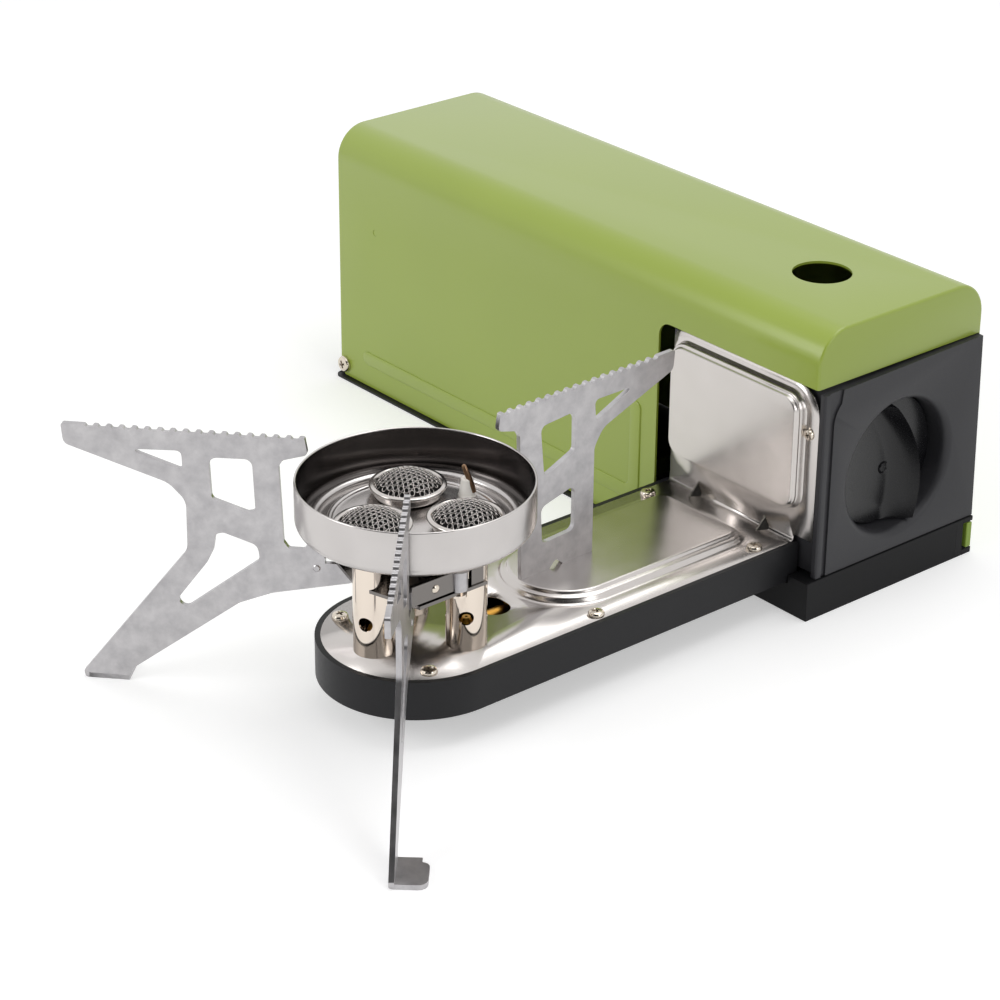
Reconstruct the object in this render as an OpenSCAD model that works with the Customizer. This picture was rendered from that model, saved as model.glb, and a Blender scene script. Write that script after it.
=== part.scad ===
// Folding gas stove with a hinged case lid, a swing arm and three pot supports.
// Origin: centre of the base underside. X runs along the case towards the knob end,
// -Y is the side on which the burner arm stands out, Z is up from the table.

/* [Case] */
// Length of the case lid
lid_l = 270; // [262:1:285]
// Width of the case lid
lid_w = 82; // [81:0.5:86]
// Height of the lid top above the table
lid_h = 107.5; // [104:0.5:115]
// Sheet thickness of the lid
lid_t = 0.9; // [0.7:0.1:1.2]
// Radius of the two long top edges of the lid
lid_r = 13; // [8:0.5:18]
// Height of the edge of the band that crosses the knob end
band_z = 87; // [86.5:0.5:92]
// Length of the front cut-out, from the knob end
cut_l = 79.5; // [79:0.5:84]
// Radius of the thumb hole in the lid top
thumb_r = 10.7; // [8:0.1:13]
// Distance of the thumb hole from the knob end
thumb_back = 40.1; // [34:0.1:48]
// Height of the bead pressed into the lid front
bead_t = 0.5; // [0.3:0.1:0.8]
// Width of the bead
bead_w = 5.6; // [4:0.1:7]
// Radius of the corner dimple in the lid front
dimple_r = 1.4; // [1:0.1:2.5]

/* [Base] */
// Thickness of the base plate
base_t = 1.0; // [0.8:0.1:1.5]
// Width of the strip of base that shows along each side of the lid
base_lip = 2.1; // [1.5:0.1:3]
// Reach of the base past the far end of the lid
base_tail = 1.4; // [1:0.1:2]
// Reach of the base block past the knob end of the lid
block_nose = 2.9; // [2.6:0.1:4]
// Length of the base block along the case
block_l = 72; // [70:0.5:75]
// Height of the block under the arm
block_z = 11.6; // [11:0.1:11.6]
// Height of the block's end rib
rib_z = 14.8; // [14.5:0.1:15]
// Height of the lid pivot above the table
pivot_z = 6.2; // [6:0.1:7]
// Distance of the lid pivot from the far end
pivot_x = 3.4; // [3.4:0.1:4]
// Radius of the lid pivot screws
pivot_r = 1.5; // [1.2:0.1:2]
// Outer radius of the base ears that carry the lid
ear_r = 4.6; // [4:0.1:5]
// Diameter of the gas cartridge that the case takes
cartridge_d = 68; // [66:0.5:70]
// Height of the cartridge axis above the table
cartridge_z = 45; // [44:0.5:46]

/* [Turret] */
// Distance of the swing axis from the knob end of the lid
swing_back = 41; // [40:0.5:42]
// Wall of the turret housing
turret_t = 2.0; // [1.6:0.1:2.6]
// Top of the turret housing
turret_z = 85.3; // [84:0.1:85.6]
// Height of the knob axis
knob_z = 47; // [46:0.5:48]
// Radius of the knob recess
recess_r = 25; // [23:0.5:27]
// Depth of the knob recess
recess_d = 12; // [10:0.5:14]
// Radius of the swing spindle
spindle_r = 7; // [5:0.5:9]
// Radius of the valve stem
stem_r = 3; // [2.5:0.1:4]

/* [Arm] */
// Distance from the case centre line to the burner axis
burner_y = 183; // [180:0.5:188]
// Half width of the arm tray
tray_hw = 33.7; // [33:0.1:35]
// Underside of the arm tray
tray_z = 11.9; // [11.9:0.1:12.5]
// Top of the steel arm plate
plate_z = 25.85; // [25:0.05:27]
// Thickness of the steel arm plate and heat shield
plate_t = 0.8; // [0.6:0.1:1.2]
// Wall of the arm tray
tray_t = 2.3; // [1.8:0.1:3]
// Top of the heat shield
shield_z = 87; // [86:0.5:89]
// Height of the pressed pad on the heat shield
shield_pad = 5; // [3:0.5:6]
// Height of the pressed pad on the arm plate
arm_pad = 3.7; // [2:0.1:5]

/* [Burner] */
// Outer radius of the wind bowl
bowl_r = 39.4; // [38:0.1:39.6]
// Rim of the wind bowl
bowl_z = 82.5; // [81:0.5:84]
// Outer height of the wind bowl
bowl_h = 16.4; // [15:0.1:18]
// Sheet thickness of the wind bowl
bowl_t = 0.8; // [0.6:0.1:1.2]
// Radius of the round foot of the wind bowl
bowl_foot = 3.5; // [2.5:0.1:4.5]
// Radius of the circle on which the mixing tubes stand
tube_pitch = 17.6; // [17:0.1:18.5]
// Outer radius of a mixing tube
tube_r = 6.93; // [6.5:0.05:7.2]
// Wall of a mixing tube
tube_t = 0.8; // [0.5:0.1:1.2]
// Radius of the air holes
air_r = 2.5; // [2:0.1:3]
// Height of the air holes
air_z = 38.1; // [36:0.1:42]
// Radius of the flange of a burner head
head_r = 13; // [12:0.1:14]
// Height of the flange of a burner head
head_z = 71.3; // [70:0.1:73]
// Rise of a burner dome
dome_h = 4.8; // [3:0.1:5]
// Number of hole rings in a burner dome
dome_rings = 4; // [2:1:4]

/* [Pot supports] */
// Thickness of a pot support
leg_t = 1.8; // [1.5:0.1:2.2]
// Height of the toothed edge
leg_z = 94.5; // [92:0.5:98]
// Reach of a pot support from the burner axis
leg_reach = 116.6; // [112:0.2:120]
// Number of teeth on a pot support
teeth = 22; // [16:1:26]
// Depth of the teeth
tooth_h = 1.2; // [0.8:0.1:1.8]
// Angle of the side supports forward of the cross line
leg_angle = 42.4; // [40:0.2:45]
// Distance of each support hinge from the burner axis
hinge_x = 22.2; // [22:0.1:23]
// Radius of the corners of the windows in a pot support
window_r = 1.8; // [1:0.1:2]
// Radius of the hinge pins
pin_r = 1.5; // [1.2:0.1:1.8]
// Lean of the hinge pins, which lifts the feet as the supports fold
pin_lean = 2; // [1:0.5:3]

/* [Hidden] */
$fn = 96;

// Clearances: gap between bodies that move, and radial running fit of shafts
gap = 0.3;
fit = 0.06;
eps = 0.01;

// Case values
swing_x = lid_l - swing_back;
cut_x = lid_l - cut_l;
thumb_x = lid_l - thumb_back;
tab_x = lid_l - 4;
tab_z = 1.3;
tab_h = 13;
case_mid = (lid_l + block_nose - base_tail) / 2;
half_w = lid_w / 2;
block_y0 = -half_w - 2.84;
lid_edge = base_t + gap;
block_x0 = lid_l + block_nose - block_l;
lip_w = lid_w + 2 * base_lip;
rib_x = swing_x + tray_hw + 2 * gap;
inner_hw = half_w - lid_t - gap;

// Turret values
turret_x0 = swing_x - 32.5;
turret_x1 = lid_l + gap;
panel_x = lid_l + block_nose - 0.6;
turret_floor = rib_z + gap;
turret_y0 = -half_w + 2.2;
recess_x = panel_x - recess_d;
socket_l = 11;

// Arm values
fold_y = -half_w + 1.4;
plate_hw = tray_hw - 2;
screw_places = [[27.5, -54.3], [28.7, -129.1], [23.7, -burner_y - 13.7]];
shield_screw_x = 37;
shield_screw_z = 69.1;
jet_z = 33;
pipe_z = 21;
pipe_r = 2.4;
pipe_y0 = 30;
outlet_y = -15;
manifold_r = 10.3;

// Burner values
bowl_floor = bowl_z - bowl_h;
tube_angles = [-90, 30, 150];
tube_top = bowl_floor + bowl_t + 2.4;
bracket_z = 49.9;
bracket_t = 1.2;
spark_pin = [-3, 24];

// Pot support values
tooth_pitch = (leg_reach - 36) / teeth;
link_s = 30;
link_z0 = bracket_z + bracket_t + gap;
link_z1 = 58.6;
hook_s = 20.5;
knuckle_r = pin_r + 1.5;

// Moves a shape from far-end coordinates into the part frame
module from_far_end() {
    translate([-case_mid, 0, 0])
        children();
}

// Moves a shape drawn about the burner axis into the part frame
module at_burner() {
    translate([swing_x - case_mid, -burner_y, 0])
        children();
}

// Moves a shape drawn about the swing axis into the part frame
module at_swing() {
    translate([swing_x - case_mid, 0, 0])
        children();
}

// Rectangle with round corners, centred
module round_rect(w, h, r) {
    square([w - 2 * r, h], center = true);
    square([w, h - 2 * r], center = true);
    for (sx = [-1, 1], sy = [-1, 1])
        translate([sx * (w / 2 - r), sy * (h / 2 - r)])
            circle(r);
}

// Long shape with one round end at the burner side, from y0 to the round tip
module stadium(hw, y0, yc) {
    translate([-hw, yc])
        square([2 * hw, y0 - yc]);
    translate([0, yc])
        circle(hw);
}

// Section of the lid: flat sides and top with round upper corners
module lid_section(w, h, r) {
    translate([-w / 2, 0])
        square([w, h - r]);
    translate([-w / 2 + r, 0])
        square([w - 2 * r, h]);
    for (s = [-1, 1])
        translate([s * (w / 2 - r), h - r])
            circle(r);
}

// Extrudes a section drawn in width and height along the case
module along_case(x0, x1) {
    translate([x0, 0, 0])
        rotate([90, 0, 90])
            linear_extrude(x1 - x0)
                children();
}

// Extrudes a shape drawn in length and height across the case
module across_case(y0, y1) {
    translate([0, y1, 0])
        rotate([90, 0, 0])
            linear_extrude(y1 - y0)
                children();
}

// Screw with a raised head, its head seat at z = 0 and its shank below
module screw(shank_r, shank_l, head_r, head_h) {
    translate([0, 0, -shank_l])
        cylinder(r = shank_r, h = shank_l + eps);
    difference() {
        rotate_extrude()
            intersection() {
                translate([0, head_h - head_r * 2])
                    circle(head_r * 2);
                square([head_r, head_h]);
            }
        for (a = [0, 90])
            rotate(a)
                translate([0, 0, head_h])
                    cube([head_r * 1.2, head_r * 0.25, head_h], center = true);
    }
}

// Base plate with the strip that shows around the lid and two ears for the lid pivot
module base_plate() {
    color("#2b2c2e")
        from_far_end()
            difference() {
                union() {
                    linear_extrude(base_t)
                        translate([(block_x0 + 14 - base_tail) / 2, 0])
                            round_rect(block_x0 + 14 + base_tail, lip_w, 3);
                    for (s = [-1, 1])
                        scale([1, s, 1])
                            base_ear();
                    translate([-base_tail, -inner_hw + 6, base_t - eps])
                        cube([1, 2 * inner_hw - 12, 7]);
                }
                translate([block_x0, half_w - 3, -eps])
                    cube([20, 10, base_t + 2 * eps]);
                translate([block_x0, -half_w - 7, -eps])
                    cube([20, 10, base_t + 2 * eps]);
            }
}

// One ear of the base plate, on the back side
module base_ear() {
    across_case(inner_hw - 2, inner_hw)
        difference() {
            union() {
                translate([pivot_x, pivot_z])
                    circle(ear_r);
                translate([pivot_x - ear_r, base_t - eps])
                    square([2 * ear_r, pivot_z - base_t]);
            }
            translate([pivot_x, pivot_z])
                circle(pivot_r);
        }
}

// Moulded block under the turret, with the pocket of the release tab
module base_block() {
    color("#26272a")
        from_far_end()
            difference() {
                union() {
                    translate([block_x0, block_y0, 0])
                        cube([block_l - block_nose - gap, inner_hw - block_y0, block_z]);
                    translate([rib_x, block_y0, 0])
                        cube([lid_l - rib_x - gap, inner_hw - block_y0, rib_z]);
                    translate([lid_l + gap, block_y0, 0])
                        cube([block_nose - gap, lid_w + 3.7, rib_z]);
                    translate([lid_l - gap - eps, block_y0, 0])
                        cube([2 * gap + 2 * eps, inner_hw - block_y0, rib_z]);
                }
                // rebate that takes the end of the base plate
                translate([block_x0 - eps, -half_w + 2.7, -eps])
                    cube([14 + gap, lid_w - 5.4, base_t + eps]);
                // opening under the lid's front corner
                translate([block_x0 - eps, -half_w - 3, -eps])
                    cube([1, 4.2, rib_z]);
                // spindle seat
                translate([swing_x, 0, -eps])
                    cylinder(r = spindle_r, h = rib_z + 1);
                translate([swing_x, 0, -eps])
                    cylinder(r = spindle_r + 3, h = 2.5 + eps);
                // pocket of the release tab, with its travel
                translate([tab_x - gap, half_w - 7.5, tab_z - gap])
                    cube([block_nose + 6, 12, rib_z]);
                // relief underneath
                translate([block_x0 + 20, -30, -eps])
                    cube([10, 60, 5]);
                translate([rib_x - 14, -30, -eps])
                    cube([14, 50, 5]);
            }
}

// Two cradles that hold the cartridge off the base
module cartridge_saddles() {
    color("#8d9093")
        from_far_end()
            for (x = [30, block_x0 - 40.9])
                difference() {
                    translate([x, -20, base_t])
                        cube([10, 40, 10.3]);
                    translate([x - eps, 0, cartridge_z])
                        rotate([0, 90, 0])
                            cylinder(d = cartridge_d + 2 * gap, h = 11);
                    translate([x + 1, -18, base_t - eps])
                        cube([8, 36, 7]);
                }
}

// Pivot screws of the lid, one in each ear
module lid_pivot_screws() {
    color("silver")
        from_far_end()
            for (s = [-1, 1])
                translate([pivot_x, s * (half_w + gap), pivot_z])
                    rotate([-s * 90, 0, 0])
                        screw(pivot_r, half_w + gap - inner_hw + 2.2, 3.4, 1.8);
}

// Sliding tab that frees the lid, at the back corner of the knob end
module release_tab() {
    color("#8aa53a")
        from_far_end()
            union() {
                translate([lid_l + gap + eps, half_w - 3, tab_z])
                    cube([block_nose, 4.5, tab_h]);
                translate([tab_x, half_w - 5.5, tab_z])
                    cube([lid_l + gap - tab_x + 2 * eps, 4, tab_h]);
            }
}

// Green lid: one folded sheet, open below and at the front by the arm
module lid_shell() {
    color("#8fae35")
        from_far_end()
            difference() {
                union() {
                    difference() {
                        along_case(0, lid_l)
                            lid_section(lid_w, lid_h, lid_r);
                        along_case(lid_t, lid_l - lid_t)
                            translate([0, -eps])
                                lid_section(lid_w - 2 * lid_t, lid_h - lid_t + eps, lid_r - lid_t);
                        // far end wall is open at the foot
                        translate([-eps, -half_w + lid_t, -eps])
                            cube([lid_t + 2 * eps, lid_w - 2 * lid_t, 16]);
                        // near end is open under the band
                        translate([lid_l - lid_t - eps, -half_w + lid_t, -eps])
                            cube([lid_t + 2 * eps, lid_w - 2 * lid_t, band_z]);
                    }
                    lid_bead();
                }
                // lower edge
                translate([-1, -half_w - 1, -eps])
                    cube([lid_l + 2, lid_w + 2, lid_edge + eps]);
                // front cut-out
                across_case(-half_w - 1, -half_w + lid_t + 1)
                    cut_out();
                // thumb hole
                translate([thumb_x, 0, lid_h - 3])
                    cylinder(r = thumb_r, h = 4);
                // pivot holes and round lower corners about them
                for (s = [-1, 1])
                    translate([pivot_x, s * half_w, pivot_z])
                        rotate([90, 0, 0])
                            cylinder(r = pivot_r + fit, h = 4, center = true);
                across_case(-half_w - 1, half_w + 1)
                    pivot_corner();
                // dimple near the far end
                translate([24.5, -half_w, 69.9])
                    rotate([90, 0, 0])
                        cylinder(r = dimple_r, h = 2 * lid_t / 3, center = true);
            }
}

// Outline of the front cut-out, with a round inner corner
module cut_out() {
    corner = 5.5;
    translate([cut_x + corner, -1])
        square([lid_l, band_z + 1]);
    translate([cut_x, -1])
        square([lid_l, band_z + 1 - corner]);
    translate([cut_x + corner, band_z - corner])
        circle(corner);
}

// Sharp corner that is cut off the lid where it turns past the base
module pivot_corner() {
    difference() {
        translate([-1, -1])
            square([pivot_x + 1, pivot_z + 1]);
        translate([pivot_x, pivot_z])
            circle(pivot_z - lid_edge);
        translate([0, pivot_z - 1])
            square([0.2, 2]);
    }
}

// Points of a round corner or end, from angle a0 to angle a1
function arc(x, z, r, a0, a1) =
    [for (i = [0:8]) [x + r * cos(a0 + (a1 - a0) * i / 8), z + r * sin(a0 + (a1 - a0) * i / 8)]];

// Raised bead pressed into the lid front, along the foot and up beside the cut-out
module lid_bead() {
    x0 = 16;
    x1 = cut_x - 8.1;
    z0 = 10.8;
    z1 = 51.5;
    corner = 8;
    end_r = bead_w / 2;
    across_case(-half_w - bead_t, -half_w + lid_t / 2)
        polygon(concat(
            arc(x0 + end_r, z0 + end_r, end_r, 90, 270),
            arc(x1 - corner, z0 + corner, corner, 270, 360),
            arc(x1 - end_r, z1 - end_r, end_r, 0, 180),
            arc(x1 - corner, z0 + corner, corner - bead_w, 360, 270)));
}

// Spindle on which the turret swings, with its foot flange
module swing_spindle() {
    color("silver")
        at_swing()
            union() {
                translate([0, 0, 0.6])
                    cylinder(r = spindle_r + 3 - gap, h = 1.9);
                cylinder(r = spindle_r, h = turret_floor + turret_t + gap);
                translate([0, 0, turret_floor + turret_t + gap - eps])
                    cylinder(r = spindle_r + 2.5, h = 1.5);
            }
}

// Plan of the turret, with the back corner round about the swing axis
module turret_plan(inset) {
    difference() {
        translate([turret_x0 + inset, turret_y0 + inset])
            square([turret_x1 - turret_x0 - 2 * inset, inner_hw - turret_y0 - 2 * inset]);
        difference() {
            translate([turret_x0 - 1, 0])
                square([swing_x - turret_x0 + 1, half_w]);
            translate([swing_x, 0])
                circle(inner_hw - inset);
        }
    }
}

// Moulded turret: walls, end panel, corner post and the round knob recess
module turret_housing() {
    color("#2e2f32")
        from_far_end()
            difference() {
                union() {
                    translate([0, 0, turret_floor])
                        linear_extrude(turret_z - turret_floor)
                            turret_plan(0);
                    translate([swing_x, 0, block_z + gap])
                        cylinder(r = 30, h = turret_floor - block_z);
                    end_panel();
                    corner_post();
                }
                // inside of the turret, open towards the cartridge
                difference() {
                    translate([0, 0, turret_floor + turret_t])
                        linear_extrude(turret_z - turret_floor - 2 * turret_t)
                            union() {
                                turret_plan(turret_t);
                                translate([turret_x0 - 1, -20])
                                    square([10, 40]);
                            }
                    translate([recess_x - turret_t, 0, knob_z])
                        rotate([0, 90, 0])
                            cylinder(r = recess_r + turret_t, h = recess_d);
                }
                // knob recess, stem hole and spindle bore
                translate([recess_x, 0, knob_z])
                    rotate([0, 90, 0])
                        cylinder(r = recess_r, h = recess_d + 2);
                translate([panel_x - 1.6, 0, knob_z])
                    rotate([0, 90, 0])
                        cylinder(r1 = recess_r - eps, r2 = recess_r + 1.8, h = 1.8);
                translate([recess_x - turret_t - 1, 0, knob_z])
                    rotate([0, 90, 0])
                        cylinder(r = stem_r + 0.6, h = turret_t + 2);
                translate([swing_x, 0, 0])
                    cylinder(r = spindle_r + fit, h = turret_floor + turret_t + 1);
                // way of the gas pipe through the front wall, and the shield screw
                translate([swing_x, turret_y0 - 1, pipe_z])
                    rotate([-90, 0, 0])
                        cylinder(r = pipe_r + gap, h = turret_t + 2);
                translate([swing_x + shield_screw_x, turret_y0 - 1, shield_screw_z])
                    rotate([-90, 0, 0])
                        cylinder(r = 1.5, h = turret_t + 2);
            }
}

// Panel on the knob end, with a raised field
module end_panel() {
    along_case(turret_x1 - eps, panel_x - 0.7)
        translate([-half_w + 3.2, turret_floor])
            square([lid_w - 2.4, turret_z - 1.7 - turret_floor]);
    along_case(panel_x - 0.7 - eps, panel_x)
        difference() {
            translate([-half_w + 6.5, turret_floor])
                square([lid_w - 6.5 + 0.8, turret_z - 1.7 - turret_floor]);
            translate([-half_w + 6.5, turret_z - 1.7 - 11])
                difference() {
                    translate([-1, 0])
                        square([12, 12]);
                    translate([11, 0])
                        circle(11);
                    translate([11, -1])
                        square([3, 14]);
                }
        }
}

// Upright post at the corner between shield and panel
module corner_post() {
    post_y = -half_w - 1.6;
    post_h = 81 - turret_floor;
    post_r = 0.8;
    translate([turret_x1 - gap, post_y + post_r, turret_floor])
        cube([panel_x - turret_x1 + gap, 4, post_h]);
    translate([turret_x1 - gap, post_y, turret_floor])
        cube([panel_x - turret_x1 + gap - post_r, 4, post_h]);
    translate([panel_x - post_r, post_y + post_r, turret_floor])
        cylinder(r = post_r, h = post_h);
}

// Gas valve: cast body, regulator bell, feet on the turret floor and the gas outlet
module valve_body() {
    body_x = turret_x0 + 4 + socket_l;
    body_l = recess_x - turret_t - gap - body_x;
    floor_z = turret_floor + turret_t;
    color("#b9b2a0")
        from_far_end()
            difference() {
                union() {
                    translate([body_x, 0, knob_z])
                        rotate([0, 90, 0])
                            cylinder(r = 9, h = body_l);
                    translate([body_x + gap, -7, floor_z])
                        cube([4, 14, knob_z - floor_z]);
                    translate([swing_x, 0, knob_z])
                        cylinder(r = 17, h = 22);
                    translate([swing_x, 0, knob_z + 22 - eps])
                        cylinder(r1 = 17, r2 = 12, h = 5);
                    translate([swing_x, outlet_y, floor_z])
                        cylinder(r = 4.5, h = knob_z - floor_z + 1);
                    translate([swing_x, outlet_y, pipe_z])
                        rotate([90, 0, 0])
                            cylinder(r = 3.4, h = pipe_y0 + outlet_y);
                }
                // bore of the stem and gas way
                translate([recess_x - turret_t - 14, 0, knob_z])
                    rotate([0, 90, 0])
                        cylinder(r = stem_r + fit, h = 16);
                translate([swing_x, outlet_y, pipe_z])
                    rotate([90, 0, 0])
                        cylinder(r = 1.5, h = 30);
            }
}

// Collar that grips the rim of the cartridge, with its key notch
module cartridge_socket() {
    color("#c9cbcd")
        from_far_end()
            translate([turret_x0 + 4, 0, cartridge_z])
                rotate([0, 90, 0])
                    difference() {
                        union() {
                            cylinder(r = 15, h = socket_l);
                            cylinder(r = 17.5, h = 2);
                        }
                        translate([0, 0, -eps])
                            cylinder(r = 12.5, h = 9);
                        translate([0, 0, -eps])
                            cylinder(r = 3.2, h = socket_l + 1);
                        translate([-20, -2.5, -eps])
                            cube([20, 5, 4]);
                    }
}

// Spark unit on the turret floor, between the valve and the back wall
module piezo_igniter() {
    unit_l = 34;
    unit_w = 11;
    unit_h = 13;
    unit_y = inner_hw - turret_t - 17.8;
    color("#f0f0ec")
        from_far_end()
            translate([turret_x0 + 14, unit_y, turret_floor + turret_t])
                union() {
                    cube([unit_l, unit_w, unit_h]);
                    translate([unit_l - eps, unit_w / 2, unit_h / 2])
                        rotate([0, 90, 0])
                            cylinder(r = 4, h = 5);
                }
}

// Round knob with a curved finger blade
module control_knob() {
    knob_r = recess_r - 0.7;
    blade_w = 8;
    color("#1d1e20")
        from_far_end()
            translate([recess_x + gap + 0.2, 0, knob_z])
                rotate([0, 90, 0])
                    difference() {
                        union() {
                            cylinder(r = knob_r, h = 2.2);
                            translate([0, 0, 2.2 - eps])
                                difference() {
                                    cylinder(r = knob_r, h = 1.6);
                                    translate([0, 0, -1])
                                        cylinder(r = knob_r - 1.4, h = 4);
                                }
                            intersection() {
                                cylinder(r = knob_r - 0.05, h = recess_d);
                                hull() {
                                    translate([0, 0, 2.1])
                                        cube([2 * knob_r, blade_w, 0.1], center = true);
                                    translate([0, 0, -29.5])
                                        rotate([90, 0, 0])
                                            cylinder(r = 40.5, h = 2.2, center = true, $fn = 128);
                                }
                                translate([-40, -20, 0.5])
                                    cube([80, 40, recess_d]);
                            }
                        }
                        translate([0, 0, -1])
                            cylinder(r = stem_r, h = 3.5);
                        // oval dimple beside the blade
                        translate([-1.6, -8.6, 2.2])
                            cylinder(r = 1.9, h = 1.2, center = true);
                    }
}

// Steel stem that turns with the knob
module valve_stem() {
    color("#c4c6c8")
        from_far_end()
            translate([recess_x - turret_t - 12, 0, knob_z])
                rotate([0, 90, 0])
                    cylinder(r = stem_r, h = turret_t + 12 + gap + 0.2 + 2.5);
}

// Outline of the pressed pad on the arm plate, shrunk by an inset
module arm_pad_outline(inset) {
    w = 48 - 2 * inset;
    back = -49.5 - inset * 0.7;
    tip_c = -116;
    tip_r = 26 - inset;
    intersection() {
        translate([-w / 2, tip_c - tip_r])
            square([w, back - tip_c + tip_r]);
        union() {
            translate([0, tip_c])
                circle(tip_r, $fn = 48);
            translate([0, (back + tip_c) / 2])
                square([w + 2, tip_c - back + 16], center = true);
            translate([0, (back + tip_c) / 2])
                round_rect(w, back - tip_c, 8 - inset / 2, $fn = 32);
        }
    }
}

// Arm plate and heat shield: one steel sheet with a bend, pressed pads and darts
module arm_plate() {
    color("#c8c9cb")
        at_swing()
            difference() {
                union() {
                    translate([0, 0, plate_z - plate_t])
                        linear_extrude(plate_t)
                            stadium(plate_hw, fold_y + plate_t, -burner_y);
                    translate([0, fold_y + plate_t, 0])
                        rotate([90, 0, 0])
                            linear_extrude(plate_t)
                                shield_outline();
                    shield_press(0);
                    arm_press(0);
                    for (x = [-16.6, 17.5])
                        translate([x, 0, 0])
                            dart();
                }
                shield_press(plate_t);
                arm_press(plate_t);
                for (p = screw_places, s = [-1, 1])
                    translate([s * p[0], p[1], plate_z - 2])
                        cylinder(r = 1.6, h = 4);
                translate([shield_screw_x, fold_y, shield_screw_z])
                    rotate([90, 0, 0])
                        cylinder(r = 1.6, h = 4, center = true);
                for (a = tube_angles)
                    translate([0, -burner_y, 0])
                        rotate(a)
                            translate([tube_pitch, 0, plate_z - 2])
                                cylinder(r = 3, h = 4);
                for (x = [-1.5, 1.5])
                    translate([1.5 + x, -burner_y + 31, plate_z - 2])
                        cylinder(r = 5.5, h = 4);
            }
}

// Flat outline of the heat shield
module shield_outline() {
    x0 = -31.7;
    x1 = 40.8;
    r0 = 5;
    r1 = 12;
    translate([x0 + r0, shield_z - r0])
        circle(r0);
    translate([x1 - r1, shield_z - r1])
        circle(r1);
    translate([x0, plate_z])
        square([plate_hw - x0, shield_z - r1 - plate_z]);
    translate([x0, plate_z - plate_t])
        square([plate_hw - x0, plate_t + eps]);
    translate([x0 + r0, shield_z - r1 - 1])
        square([x1 - r1 - x0 - r0, r1 + 1]);
    translate([x0, shield_z - r1 - 1])
        square([20, r1 - r0 + 1]);
    translate([plate_hw - 1, plate_z + 2.8])
        square([x1 - plate_hw + 1, shield_z - r1 - plate_z - 2.8]);
}

// Pressed pad on the heat shield; the inner copy hollows it from behind
module shield_press(inset) {
    pad_w = 64.5;
    pad_h = 42.5;
    translate([2.2, fold_y + 0.5 * plate_t + inset, 61.3])
        rotate([90, 0, 0])
            hull() {
                linear_extrude(0.05)
                    round_rect(pad_w - 2 * inset, pad_h - 2 * inset, 7, $fn = 32);
                translate([0, 0, shield_pad + 0.5 * plate_t - 0.05])
                    linear_extrude(0.05)
                        round_rect(pad_w - 7 - 2 * inset, pad_h - 7 - 2 * inset, 5, $fn = 32);
            }
}

// Pressed pad on the arm plate; the inner copy hollows it from below
module arm_press(inset) {
    translate([-0.5, 0, plate_z - 0.5 * plate_t - inset])
        hull() {
            linear_extrude(0.05)
                arm_pad_outline(inset);
            translate([0, 0, arm_pad + 0.5 * plate_t - 0.05])
                linear_extrude(0.05)
                    arm_pad_outline(4.5 + inset);
        }
}

// Dart pressed into the bend: a ridge from the plate up to the shield
module dart() {
    half = 5.2;
    reach = 6.6;
    rise = 6.2;
    translate([0, fold_y + eps, plate_z - eps])
        polyhedron(
            points = [[-half, 0, 0], [half, 0, 0], [0, -reach, 0], [0, 0, rise]],
            faces = [[0, 2, 1], [0, 1, 3], [0, 3, 2], [1, 2, 3]]);
}

// Black tray under the arm plate, with a boss for each screw
module arm_tray() {
    color("#26272a")
        at_swing()
            difference() {
                union() {
                    difference() {
                        translate([0, 0, tray_z])
                            linear_extrude(plate_z - tray_z)
                                stadium(tray_hw, turret_y0, -burner_y);
                        translate([0, 0, tray_z + tray_t])
                            linear_extrude(plate_z)
                                stadium(tray_hw - tray_t, turret_y0 - tray_t, -burner_y);
                        translate([0, 0, plate_z - plate_t])
                            linear_extrude(plate_z)
                                stadium(plate_hw + 0.05, turret_y0 + 1, -burner_y);
                    }
                    for (p = screw_places, s = [-1, 1])
                        translate([s * p[0], p[1], tray_z + tray_t - eps])
                            cylinder(r = 3.4, h = plate_z - plate_t - tray_z - tray_t + eps);
                }
                for (p = screw_places, s = [-1, 1])
                    translate([s * p[0], p[1], tray_z + tray_t])
                        cylinder(r = 1.5, h = plate_z);
                translate([0, turret_y0 - tray_t - 1, pipe_z])
                    rotate([-90, 0, 0])
                        cylinder(r = pipe_r + gap, h = tray_t + 3);
            }
}

// The six screws of the arm plate
module plate_screws() {
    color("silver")
        at_swing()
            for (p = screw_places, s = [-1, 1])
                translate([s * p[0], p[1], plate_z])
                    screw(1.5, 8, 2.9, 1.9);
}

// Screw at the edge of the heat shield
module shield_screw() {
    color("silver")
        at_swing()
            translate([shield_screw_x, fold_y, shield_screw_z])
                rotate([90, 0, 0])
                    screw(1.5, plate_t + turret_t + 1, 2.2, 1.5);
}

// Gas pipe from the valve outlet through the tray to the manifold
module gas_pipe() {
    color("#b98a4a")
        at_swing()
            translate([0, -pipe_y0, pipe_z])
                rotate([90, 0, 0])
                    cylinder(r = pipe_r, h = burner_y - manifold_r - pipe_y0);
}

// Manifold under the arm plate that feeds the three jets
module gas_manifold() {
    color("#c9a86a")
        at_burner()
            union() {
                translate([0, 0, 15])
                    cylinder(r = manifold_r, h = plate_z - plate_t - 15);
                for (a = tube_angles)
                    rotate(a)
                        translate([0, -4, 15])
                            cube([tube_pitch, 8, plate_z - plate_t - 15]);
                for (a = tube_angles)
                    rotate(a)
                        translate([tube_pitch, 0, 15])
                            cylinder(r = 4.6, h = plate_z - plate_t - 15);
            }
}

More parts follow.
